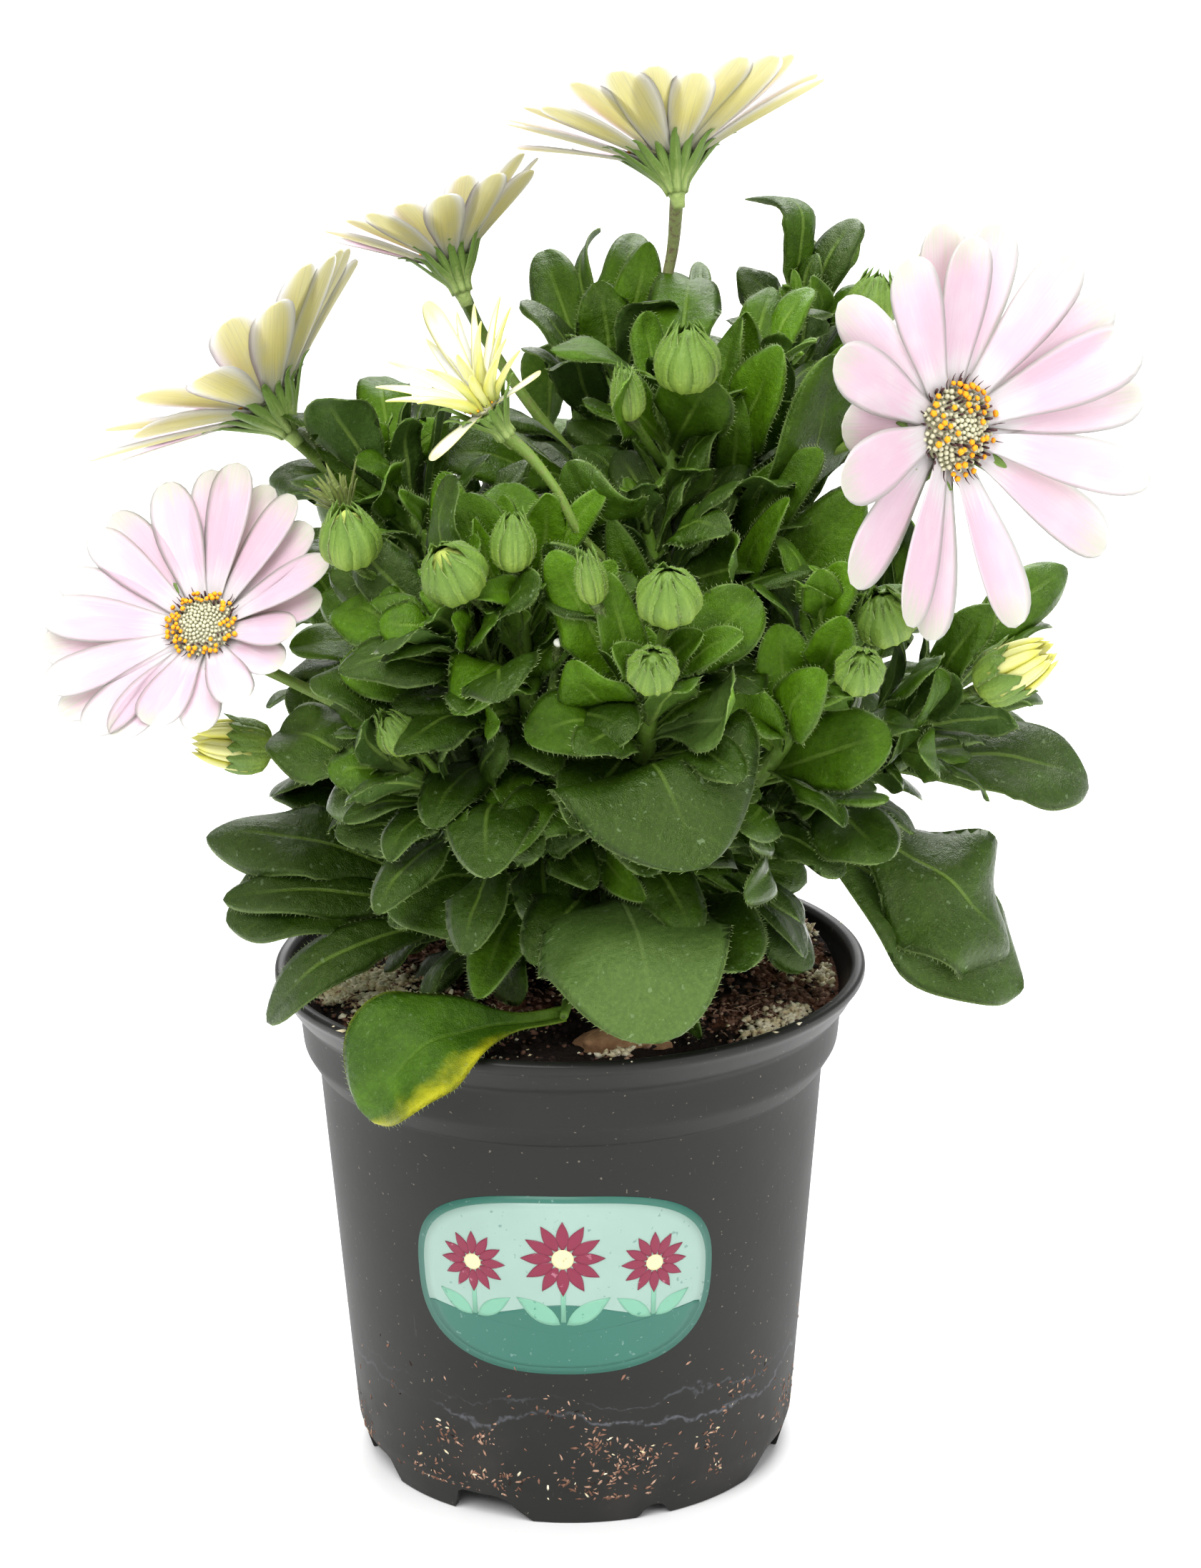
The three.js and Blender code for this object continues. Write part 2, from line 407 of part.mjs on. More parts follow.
// Each shoot: stem radius, stem points from just above the crown to the top, and its leaves as
// [place along the stem, tip x, tip y, tip z, width, arch, side that the upper face looks to].
const SHOOTS = {
  top_back: { radius: 2.2, stem: [[9, -4, 132], [10, 4, 171], [9, 6, 207], [9, 6, 226]],
    leaves: [[0.8, -4, 29, 246, 11, 3, 'F'], [0.86, 7, 6, 244, 13, 2, 'F'], [0.95, 6, 31, 250, 6, 5, 'FL'],
      [0.95, 15, 25, 251, 9, 4, 'F'], [0.88, 17, 9, 251, 10, 2, 'F'], [0.62, -27, -20, 216, 16, 4, 'FU']] },
  top_centre: { radius: 2.6, stem: [[15, -20, 138], [18, -30, 181], [20, -32, 211], [20, -27, 228]],
    leaves: [[0.74, 0, -39, 242, 16, 6, 'RU'], [0.82, 13, -60, 238, 12, -3, 'FR'], [0.86, 18, -20, 244, 9, -3, 'RF'],
      [0.8, 27, -49, 236, 16, 2, 'F'], [0.92, 25, 9, 246, 15, 3, 'FU'], [0.95, 27, 22, 246, 5, 3, 'FU'],
      [0.95, 20, 18, 245, 7, 1, 'F']] },
  top_right: { radius: 2.4, stem: [[19, -10, 133], [27, -18, 171], [29, -22, 203], [40, -14, 229]],
    leaves: [[0.55, 32, -25, 243, 9, 3, 'LF'], [0.72, 39, -39, 240, 16, 1, 'FL'], [0.45, 52, -36, 237, 20, 4, 'FR'],
      [0.86, 35, -20, 243, 8, -2, 'F'], [0.95, 48, 0, 244, 9, 2, 'FL'], [0.9, 41, 3, 244, 9, 2, 'F'],
      [0.92, 48, -26, 239, 5, 2, 'U'], [0.35, 48, -40, 221, 12, 5, 'LF'], [0.3, 40, -49, 214, 11, 4, 'FU'],
      [0.62, 33, -35, 229, 8, 2, 'F'], [0.2, 55, -39, 211, 16, 4, 'F']] },
  back_right: { radius: 2.0, stem: [[20, 6, 127], [39, 20, 166], [46, 24, 210], [46, 20, 235]],
    leaves: [[0.92, 37, 40, 254, 11, 12, 'FR'], [0.9, 47, 45, 247, 12, 4, 'FR'], [0.95, 58, 38, 248, 8, -2, 'FL'],
      [0.85, 50, 10, 243, 8, 2, 'FR'], [0.8, 70, 30, 226, 14, 3, 'U'], [0.7, 38, 52, 222, 14, 3, 'U']] },
  middle: { radius: 2.2, stem: [[11, -22, 138], [15, -40, 170], [18, -46, 192], [15, -46, 210]],
    leaves: [[0.75, 29, -67, 207, 14, -6, 'FL'], [0.95, 1, -58, 222, 18, 6, 'FD'], [0.85, 29, -64, 213, 11, 3, 'FU'],
      [0.6, 8, -54, 218, 5, -2, 'F'], [0.5, -2, -68, 209, 12, 2, 'F'], [0.4, 2, -56, 213, 7, 2, 'F'],
      [0.45, 9, -61, 212, 8, 2, 'F']] },
  front_left: { radius: 2.6, stem: [[1, -22, 135], [-5, -42, 162], [-7, -52, 179], [-8, -58, 196]],
    leaves: [[0.8, -23, -47, 219, 11, 1, 'FL'], [0.92, -19, -55, 217, 14, 2, 'F'], [0.92, -10, -45, 217, 14, 2, 'FU'],
      [1.0, -11, -57, 217, 6, 0, 'F'], [0.95, -3, -65, 219, 9, -2, 'F'], [0.9, -15, -66, 215, 5, -1, 'RF'],
      [0.9, 8, -62, 220, 6, 2, 'FU'], [0.85, -17, -71, 202, 8, 6, 'FU'], [0.7, -6, -71, 201, 7, 6, 'FU'],
      [0.25, -13, -73, 152, 15, 7, 'FU'], [0.15, -3, -37, 117, 9, 2, 'F'], [0.62, 9, -66, 206, 9, 1, 'F'],
      [0.02, -17, -58, 120, 11, 2, 'FU'], [0.05, 12, -62, 141, 7, 1, 'F']] },
  upper_left: { radius: 2.2, stem: [[-4, -8, 130], [-16, -22, 172], [-27, -26, 200], [-34, -22, 215]],
    leaves: [[0.92, -41, -10, 222, 9, 3, 'F'], [0.95, -36, 2, 227, 11, 3, 'F'], [0.95, -40, -27, 222, 9, 3, 'FU'],
      [0.85, -38, -36, 219, 9, 3, 'FU'], [0.95, -22, -24, 223, 8, 2, 'F'], [0.75, -32, -43, 217, 11, -2, 'FR'],
      [0.7, -28, -51, 216, 7, 2, 'FR'], [0.6, -58, -4, 209, 15, 4, 'FU'], [0.78, -44, -8, 218, 12, 3, 'F'],
      [0.55, -45, -34, 212, 18, 3, 'FL'], [0.45, -45, -48, 196, 14, 4, 'FD'], [0.62, -39, -57, 208, 5, 4, 'U'],
      [0.35, -53, -30, 181, 14, 3, 'FU']] },
  middle_left: { radius: 2.2, stem: [[-2, -20, 133], [-9, -44, 165], [-13, -56, 183], [-20, -62, 193]],
    leaves: [[0.9, -42, -53, 196, 14, 3, 'FU'], [0.95, -34, -65, 195, 11, 2, 'FU'], [0.85, -34, -50, 198, 11, 3, 'FU'],
      [0.92, -20, -74, 199, 8, 2, 'FR'], [0.55, -20, -78, 182, 16, 9, 'FU'], [0.35, -42, -56, 184, 18, 7, 'FU'],
      [0.6, -47, -48, 173, 12, 2, 'FU'], [0.5, -12, -71, 178, 9, 3, 'FL'], [0.2, -54, -25, 171, 16, 2, 'F']] },
  lower_left: { radius: 2.2, stem: [[-3, -24, 130], [-13, -44, 147], [-20, -54, 157], [-31, -58, 166]],
    leaves: [[0.95, -54, -49, 170, 18, 3, 'FU'], [0.98, -44, -63, 165, 12, 2, 'FU'], [1.0, -29, -70, 174, 9, -1, 'F'],
      [0.98, -43, -60, 173, 5, 2, 'U'], [0.6, -33, -67, 150, 11, 5, 'FL'], [0.8, -46, -48, 155, 12, 3, 'FU'],
      [0.15, -35, -50, 136, 26, 4, 'FU'], [0.1, -24, -37, 122, 14, 2, 'FU']] },
  low_left: { radius: 2.0, stem: [[-4, -9, 117], [-13, -13, 121], [-22, -14, 126]],
    leaves: [[0.9, -72, -11, 137, 18, 6, 'FU'], [0.8, -68, -22, 128, 11, 4, 'FU'], [0.7, -68, -20, 122, 20, 5, 'FU'],
      [0.6, -60, -28, 103, 12, 13, 'FL'], [0.9, -60, 8, 140, 18, 5, 'U'], [0.5, -55, 25, 122, 19, 6, 'U']] },
  front_centre: { radius: 2.6, stem: [[6, -26, 130], [13, -52, 158], [15, -66, 175], [16, -68, 184]],
    leaves: [[0.8, 1, -76, 190, 15, 3, 'FL'], [0.6, -7, -78, 177, 14, 5, 'FU'], [0.85, 9, -80, 195, 8, 2, 'FR'],
      [0.9, 35, -69, 201, 14, 2, 'F'], [0.9, 32, -76, 196, 8, 2, 'FU'], [0.95, 25, -79, 197, 7, 1, 'FL'],
      [0.7, 8, -75, 207, 9, 3, 'F'], [0.65, -2, -70, 210, 11, 1, 'F'], [0.75, 15, -68, 195, 8, 1, 'F'],
      [0.6, 29, -82, 187, 19, -5, 'FU'], [0.3, 25, -87, 156, 42, 15, 'FU'], [0.02, 17, -80, 120, 38, 14, 'FU'],
      [0.02, 25, -46, 106, 7, 3, 'F']] },
  right_front: { radius: 2.4, stem: [[13, -20, 132], [34, -44, 156], [45, -52, 174], [50, -52, 194]],
    leaves: [[0.92, 47, -66, 205, 8, 2, 'F'], [0.8, 52, -64, 205, 11, 2, 'FL'], [0.7, 51, -69, 196, 9, 1, 'F'],
      [0.55, 47, -72, 187, 12, 5, 'FL'], [0.4, 60, -62, 172, 16, 4, 'FL'], [0.62, 40, -60, 192, 12, 3, 'F'],
      [0.5, 32, -65, 183, 14, 3, 'FD']] },
  right: { radius: 2.2, stem: [[15, -12, 128], [41, -26, 149], [62, -32, 162], [72, -30, 168]],
    leaves: [[0.7, 69, -59, 185, 11, 3, 'FU'], [0.8, 80, -42, 191, 12, 3, 'FU'], [0.6, 71, -52, 180, 12, 3, 'FR'],
      [0.65, 68, -56, 167, 11, 4, 'FR'], [0.45, 65, -53, 169, 14, 3, 'FR'], [0.4, 88, -33, 119, 31, 5, 'FU'],
      [0.5, 103, -16, 148, 20, 5, 'FU'], [0.6, 95, -7, 153, 14, 4, 'FU'], [0.95, 94, -14, 165, 8, 2, 'FU'],
      [0.9, 100, 1, 187, 11, 3, 'F'], [0.85, 94, -5, 180, 12, 2, 'FL']] },
  right_low: { radius: 2.4, stem: [[14, -14, 126], [25, -26, 137], [36, -30, 145], [44, -30, 150]],
    leaves: [[0.95, 60, -61, 147, 18, 4, 'FU'], [0.9, 59, -65, 162, 8, 2, 'FU'], [0.6, 34, -71, 144, 11, 4, 'FR'],
      [0.5, 38, -73, 155, 9, 3, 'FR'], [0.85, 90, -28, 109, 26, 4, 'FU'], [0.1, 33, -74, 131, 20, 3, 'FU']] },
  front_rim: { radius: 1.6, stem: [[1, -14, 109], [0, -30, 109.5], [-1, -46, 110.5]],
    leaves: [[0.95, -39, -60, 96, 19, 7, 'FU']] },
};

// A stem's smooth path starts at the crown; places on it count from its first listed point to its top.
const stemCurve = (points) => new THREE.CatmullRomCurve3([CROWN_TOP, ...points].map(vec));
const curvePart = (points, place) => (1 + place * (points.length - 1)) / points.length;

// The shoots at the back and sides are alike: bearing from +X, reach out from the crown,
// height of the top, number of leaves, and length of the longest leaf.
const SIDE_SHOOTS = {
  back: { bearing: 100, out: 44, top: 200, leaves: 8, leaf: 44 },
  back_left: { bearing: 145, out: 50, top: 186, leaves: 8, leaf: 44 },
  back_right_high: { bearing: 58, out: 58, top: 202, leaves: 8, leaf: 44 },
  left_side: { bearing: 172, out: 46, top: 176, leaves: 7, leaf: 38 },
  right_side: { bearing: 12, out: 62, top: 172, leaves: 8, leaf: 42 },
  low_back_left: { bearing: 130, out: 46, top: 146, leaves: 7, leaf: 50 },
  low_back: { bearing: 82, out: 48, top: 144, leaves: 7, leaf: 50 },
  low_back_right: { bearing: 38, out: 56, top: 146, leaves: 7, leaf: 50 },
};
const GOLDEN_ANGLE = 137.5;

// Leaves go up the stem in a spiral: the lowest are longest and lie flattest.
function sideShoot({ bearing, out, top, leaves: count, leaf }, seed) {
  const turn = THREE.MathUtils.degToRad(bearing);
  const [cx, cy] = [Math.cos(turn), Math.sin(turn)];
  const points = [
    [3 + 9 * cx, -3 + 9 * cy, 120],
    [3 + 0.6 * out * cx, -3 + 0.6 * out * cy, 120 + 0.45 * (top - 120)],
    [3 + out * cx, -3 + out * cy, top],
  ];
  const path = stemCurve(points);
  const leaves = [];
  for (let i = 0; i < count; i += 1) {
    const place = 0.4 + 0.6 * (i / (count - 1));
    const part = curvePart(points, place);
    const axis = path.getTangent(part);
    const across = new THREE.Vector3(-cy, cx, 0);
    const outward = new THREE.Vector3().crossVectors(across, axis).normalize();
    const round = THREE.MathUtils.degToRad(i * GOLDEN_ANGLE + 40 * scatter(seed + i));
    const spread = THREE.MathUtils.degToRad(76 - 50 * place + 14 * scatter(seed + 2 * i));
    const sideways = across.clone().multiplyScalar(Math.cos(round)).addScaledVector(outward, Math.sin(round));
    const along = axis.clone().multiplyScalar(Math.cos(spread)).addScaledVector(sideways, Math.sin(spread));
    const length = leaf * (1.1 - 0.5 * place) * (0.85 + 0.3 * scatter(seed + 3 * i));
    const tip = path.getPoint(part).addScaledVector(along, length);
    leaves.push([place, tip.x, tip.y, tip.z, length * (0.36 + 0.1 * scatter(seed + 4 * i)), 4, axis]);
  }
  return { radius: 2, stem: points, leaves };
}

const shoots = { ...SHOOTS };
Object.entries(SIDE_SHOOTS).forEach(([name, plan], i) => {
  shoots[name] = sideShoot(plan, 10 * i + 1);
});

const shootStem = (shoot, grow) => stem([CROWN_TOP, ...shoot.stem], shoot.radius, shoot.stem.length + 2, grow);

function shootLeaves(shoot, grow) {
  const path = stemCurve(shoot.stem);
  return shoot.leaves.filter((leaf) => leaf[4] > NARROWEST_LEAF).map(([place, x, y, z, width, arch, side]) => {
    const upper = typeof side === 'string' ? facing(side) : side;
    const base = path.getPoint(curvePart(shoot.stem, place));
    return leafGeometry(base, new THREE.Vector3(x, y, z), width, arch, upper, grow);
  });
}

function crownGeometry(grow) {
  const radius = CROWN_RADIUS + grow;
  const profile = [[0, 84 - grow], [radius * 0.5, 84 - grow], [radius, 98], [radius, 108],
    [radius * 0.8, 114 + grow], [0, 116 + grow]];
  const geometry = lathe(profile, 12);
  geometry.translate(3, -3, 0);
  return geometry;
}

// ---- assembly: each piece is cut clear of the pieces already in place ------------------
const osteospermum = new THREE.Group();
osteospermum.name = 'osteospermum';

function place(name, solid, look) {
  const material = new THREE.MeshStandardMaterial({ metalness: 0, ...look });
  const mesh = new THREE.Mesh(toGeometry(largestPiece(solid)), material);
  mesh.name = name;
  osteospermum.add(mesh);
}

const solidOf = (geometries) => joined(geometries.map(toSolid));

// A plain envelope of the pot and its soil, slightly oversize, that leaves are kept out of.
const potEnvelope = toSolid(lathe([[0, -GAP], ...outerProfile.map(([r, z]) => [r + GAP, z + GAP]), [0, SOIL_LEVEL]],
  POT_SIDES));
const soilEnvelope = toSolid(soilGeometry(GAP));

place('pot', potSolid(), PLASTIC);
place('potting_mix', toSolid(soilGeometry(0)).subtract(toSolid(crownGeometry(GAP))), PEAT);
place('crown', toSolid(crownGeometry(0)), WOOD);

// Stems first: the shoots, then the flower stalks and buds, each cut back from what bears it.
const grownCrown = toSolid(crownGeometry(GAP));
const stems = {};
const grownStems = {};
for (const [name, shoot] of Object.entries(shoots)) {
  stems[name] = largestPiece(cutBy(toSolid(shootStem(shoot, 0)), [grownCrown, ...Object.values(grownStems)]));
  grownStems[name] = toSolid(shootStem(shoot, GAP));
}

const allStems = joined([grownCrown, ...Object.values(grownStems)]);
let grown = joined([potEnvelope, soilEnvelope]);

// Places a piece cut clear of all the pieces before it, and keeps its grown shape clear of later ones.
function placeClear(name, solid, grownSolid, look) {
  place(name, cutBy(solid, [allStems, grown]), look);
  grown = joined([grown, grownSolid]);
}

for (const [name, flower] of Object.entries(FLOWERS)) {
  placeClear(`flower_stalk_${name}`, solidOf(flowerStalk(flower, 0)), solidOf(flowerStalk(flower, GAP)), BRACT);
}
for (const [name, bud] of Object.entries(BUDS)) {
  placeClear(`bud_${name}`, solidOf(budSolids(bud, 0)), solidOf(budSolids(bud, GAP)), BUD_GREEN);
}
for (const [name, flower] of Object.entries(FLOWERS)) {
  placeClear(`ray_petals_${name}`, toSolid(raysGeometry(flower, 0)), toSolid(raysGeometry(flower, GAP)), PETAL);
  placeClear(`disc_florets_${name}`, toSolid(discGeometry(flower, 0)), toSolid(discGeometry(flower, GAP)), FLORETS);
}

// Then the leaves of each shoot, cut clear of everything but their own stem.
for (const [name, shoot] of Object.entries(shoots)) {
  const otherStems = Object.keys(shoots).filter((other) => other !== name).map((other) => grownStems[other]);
  const leaves = cutBy(solidOf(shootLeaves(shoot, 0)), [grown, grownCrown, ...otherStems]);
  place(`shoot_${name}`, stems[name].add(leaves), FOLIAGE);
  grown = joined([grown, solidOf(shootLeaves(shoot, GAP))]);
}

// The origin is the middle of the box round the whole plant, on the ground.
const middle = new THREE.Box3().setFromObject(osteospermum).getCenter(new THREE.Vector3());
for (const mesh of osteospermum.children) {
  mesh.position.set(-middle.x, -middle.y, 0);
}

export default osteospermum;
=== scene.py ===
# %% [markdown]
# # An osteospermum in its nursery pot
# This lesson builds a bushy Cape daisy: a black pot, peaty soil, leafy shoots, buds and pale pink flowers.
# The plain solids of the plant are loaded first. They fix where every stalk, leaf and petal goes, so the
# lesson only has to make each piece finer, in the same place. Lengths are typed in millimetres and turned
# into metres at the last moment, because a leaf is easier to think of as 40 mm than as 0.04 m.

# %% Load the plain solids
import json
import math
from types import SimpleNamespace

import bpy
import numpy as np
from mathutils import Matrix, Vector, noise

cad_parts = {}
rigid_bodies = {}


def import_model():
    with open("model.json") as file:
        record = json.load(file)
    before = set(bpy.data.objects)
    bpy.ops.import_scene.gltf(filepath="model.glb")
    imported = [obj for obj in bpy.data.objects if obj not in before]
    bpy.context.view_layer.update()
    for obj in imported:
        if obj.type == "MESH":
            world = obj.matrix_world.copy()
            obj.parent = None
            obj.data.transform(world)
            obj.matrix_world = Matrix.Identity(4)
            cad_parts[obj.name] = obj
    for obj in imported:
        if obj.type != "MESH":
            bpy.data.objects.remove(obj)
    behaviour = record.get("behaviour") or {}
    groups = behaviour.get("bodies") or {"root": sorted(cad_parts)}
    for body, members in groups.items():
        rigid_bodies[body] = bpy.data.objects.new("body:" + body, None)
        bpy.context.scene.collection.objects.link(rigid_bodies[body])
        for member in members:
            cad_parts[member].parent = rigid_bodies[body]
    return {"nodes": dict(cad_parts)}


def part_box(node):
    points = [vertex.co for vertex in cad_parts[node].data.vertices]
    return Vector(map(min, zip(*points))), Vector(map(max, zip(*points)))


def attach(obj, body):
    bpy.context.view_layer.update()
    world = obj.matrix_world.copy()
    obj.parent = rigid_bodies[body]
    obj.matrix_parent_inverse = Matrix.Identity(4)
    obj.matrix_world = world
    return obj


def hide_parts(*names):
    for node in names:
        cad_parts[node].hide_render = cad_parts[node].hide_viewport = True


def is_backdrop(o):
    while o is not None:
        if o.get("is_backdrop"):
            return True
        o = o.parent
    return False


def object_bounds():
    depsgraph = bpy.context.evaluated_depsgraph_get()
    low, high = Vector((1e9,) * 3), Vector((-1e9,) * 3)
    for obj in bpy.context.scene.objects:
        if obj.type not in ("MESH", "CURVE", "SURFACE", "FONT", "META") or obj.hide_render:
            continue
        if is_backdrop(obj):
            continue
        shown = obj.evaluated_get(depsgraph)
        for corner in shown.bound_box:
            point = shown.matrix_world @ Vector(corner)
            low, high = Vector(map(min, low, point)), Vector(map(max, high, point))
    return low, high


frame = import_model()
plain_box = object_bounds()
pot_low, pot_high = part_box("pot")
POT_AXIS = np.array([(pot_low[0] + pot_high[0]) / 2, (pot_low[1] + pot_high[1]) / 2, 0.0])
MM = 0.001
print("plain solids:", len(frame["nodes"]), "pot axis at", POT_AXIS.round(4))

# %% [markdown]
# ## The camera
# A camera is a point, a direction and a lens. Here the viewer stands nearly a metre off, 18 degrees above
# the horizon, with a long lens, so that the pot keeps its shape. The frame is built from three unit
# vectors: to the right, up, and forwards. Turning the first two by half a degree gives the slight tilt.

# %% Set the camera
CAMERA_DISTANCE = 900.0
CAMERA_ELEVATION = 18.0
CAMERA_ROLL = -0.5
CAMERA_TARGET = np.array([6.5, 0.0, 142.8])
LENS = 102.9
SENSOR = 36.0


def unit(vector):
    """The same direction with length 1, for one vector or rows of them."""
    vector = np.asarray(vector, float)
    return vector / np.maximum(np.linalg.norm(vector, axis=-1, keepdims=True), 1e-12)


def to_metres(points):
    """Millimetres from the middle of the pot's base, turned into metres in the frame."""
    return np.asarray(points, float) * MM + POT_AXIS


def stand(name, data):
    """A new object with the given data, put into the scene."""
    made = bpy.data.objects.new(name, data)
    bpy.context.scene.collection.objects.link(made)
    return made


def set_camera():
    """Stands the camera off its target and gives it the lens."""
    tilt, roll = math.radians(CAMERA_ELEVATION), math.radians(CAMERA_ROLL)
    forward = np.array([0, math.cos(tilt), -math.sin(tilt)])
    side = np.array([1.0, 0, 0])
    above = np.cross(side, forward)
    right = side * math.cos(roll) + above * math.sin(roll)
    up = -side * math.sin(roll) + above * math.cos(roll)
    turn = Matrix(np.column_stack([right, up, -forward]).tolist()).to_4x4()
    camera = stand("camera", bpy.data.cameras.new("camera"))
    camera.data.lens = LENS
    camera.data.sensor_width = SENSOR
    camera.data.clip_end = 20
    spot = Vector(to_metres(CAMERA_TARGET - forward * CAMERA_DISTANCE))
    camera.matrix_world = Matrix.Translation(spot) @ turn
    bpy.context.scene.camera = camera
    return camera


camera = set_camera()
print("camera stands at", [round(v, 3) for v in camera.location])

# %% [markdown]
# ## Where everything grows
# A plant is an assembly of a few repeated parts, so it is easiest to keep as tables. Each flower has the
# middle of its disc, the way it looks, the reach of its rays, how far they rise, how many there are, and
# the points of its stalk. Each bud has its middle, the way it points, its width and length, and its stalk.
# The plain solids use the same tables, so the fine pieces land exactly where the plain ones are.

# %% Flowers and buds
def table(keys, rows):
    """Rows that start with a name, as one dictionary of named values for each name."""
    return {name: dict(zip(keys.split(), values)) for name, *values in rows}


FLOWERS = table("centre looks reach cup rays stalk", [
    ("top", (21, 2, 269), (-0.16, 0.37, 0.92), 33, 25, 22, [(21, 6, 248), (17, 8, 234), (9, 6, 222)]),
    ("upper_left", (-22, 6, 249), (-0.33, 0.25, 0.91), 26, 34, 20,
     [(-16, 10, 233), (-6, 8, 218), (9, 5, 200)]),
    ("left", (-57, -15, 225), (-0.62, 0.22, 0.75), 35, 25, 21,
     [(-48, -14, 214), (-40, -18, 207), (-28, -25, 196)]),
    ("low_left", (-67, -52, 191), (-0.21, -0.71, 0.66), 30, 16, 22,
     [(-58, -37, 179), (-42, -38, 171), (-22, -46, 164), (-13, -44, 150)]),
    ("right", (72, -48, 227), (0.6, -0.75, 0.16), 40, 17, 19,
     [(60, -33, 222), (49, -28, 217), (38, -24, 208), (28, -20, 192)]),
    ("half_open", (-14, -57, 234), (-0.5, -0.3, 0.8), 21, 52, 16,
     [(-6, -58, 225), (-1, -61, 219), (3, -61, 211), (11, -52, 200), (16, -45, 190)]),
])
BUDS = table("at points wide long stalk", [
    ("top", (23, -50, 241), (0, -0.25, 1), 12, 13, [(22, -42, 233), (20, -28, 226)]),
    ("top_slim", (12, -52, 235), (-0.1, -0.2, 1), 6, 11, [(14, -46, 227), (19, -31, 216)]),
    ("front_left", (-20, -72, 207), (-0.35, -0.5, 0.8), 12, 12,
     [(-15, -66, 199), (-10, -58, 190), (-7, -52, 180)]),
    ("front_left_young", (-9, -70, 212), (0, -0.2, 1), 8, 12, [(-8, -66, 205), (-8, -58, 195)]),
    ("front", (19, -82, 205), (-0.05, -0.45, 0.9), 11.5, 11.5, [(18, -76, 196), (16, -67, 183)]),
    ("front_low", (16, -88, 193), (0, -0.7, 0.7), 9, 9, [(16, -82, 188), (15, -67, 179)]),
    ("front_slim", (5, -77, 207), (-0.15, -0.2, 1), 5.5, 11, [(8, -75, 198), (15, -66, 178)]),
    ("left", (-39, -62, 211), (-0.1, -0.3, 1), 11, 12.5, [(-36, -56, 202), (-27, -27, 196)]),
    ("low_left", (-63, -36, 163), (-0.95, -0.15, 0.15), 10.5, 14,
     [(-52, -36, 161), (-42, -44, 163), (-30, -57, 165)]),
    ("right", (84, -45, 179), (0.75, -0.25, 0.5), 11, 15, [(76, -39, 173), (66, -31, 164)]),
    ("right_front", (59, -62, 195), (-0.2, -0.5, 0.8), 11, 11, [(57, -57, 187), (47, -51, 178)]),
    ("right_low", (54, -73, 188), (0.1, -0.7, 0.7), 9, 9, [(52, -67, 182), (45, -52, 174)]),
    ("right_high", (61, 10, 239), (0.2, -0.1, 1), 10, 11, [(57, 14, 230), (47, 20, 220)]),
    ("behind_right", (74, 30, 239), (0.3, 0.1, 1), 9, 14, [(68, 27, 228), (47, 21, 214)]),
    ("inner_left", (-31, -67, 175), (-0.45, -0.4, 0.8), 8, 9, [(-27, -61, 169), (-20, -54, 158)]),
])
print(len(FLOWERS), "flowers and", len(BUDS), "buds")

# %% [markdown]
# Each shoot has its youth, which sets how bright its greens are, the radius and points of its stem, and its
# leaves. A leaf is typed as its place on the stem, its tip in x, y and z, its width, its arch, and letters
# for the side it faces: F for front, U for up and so on.

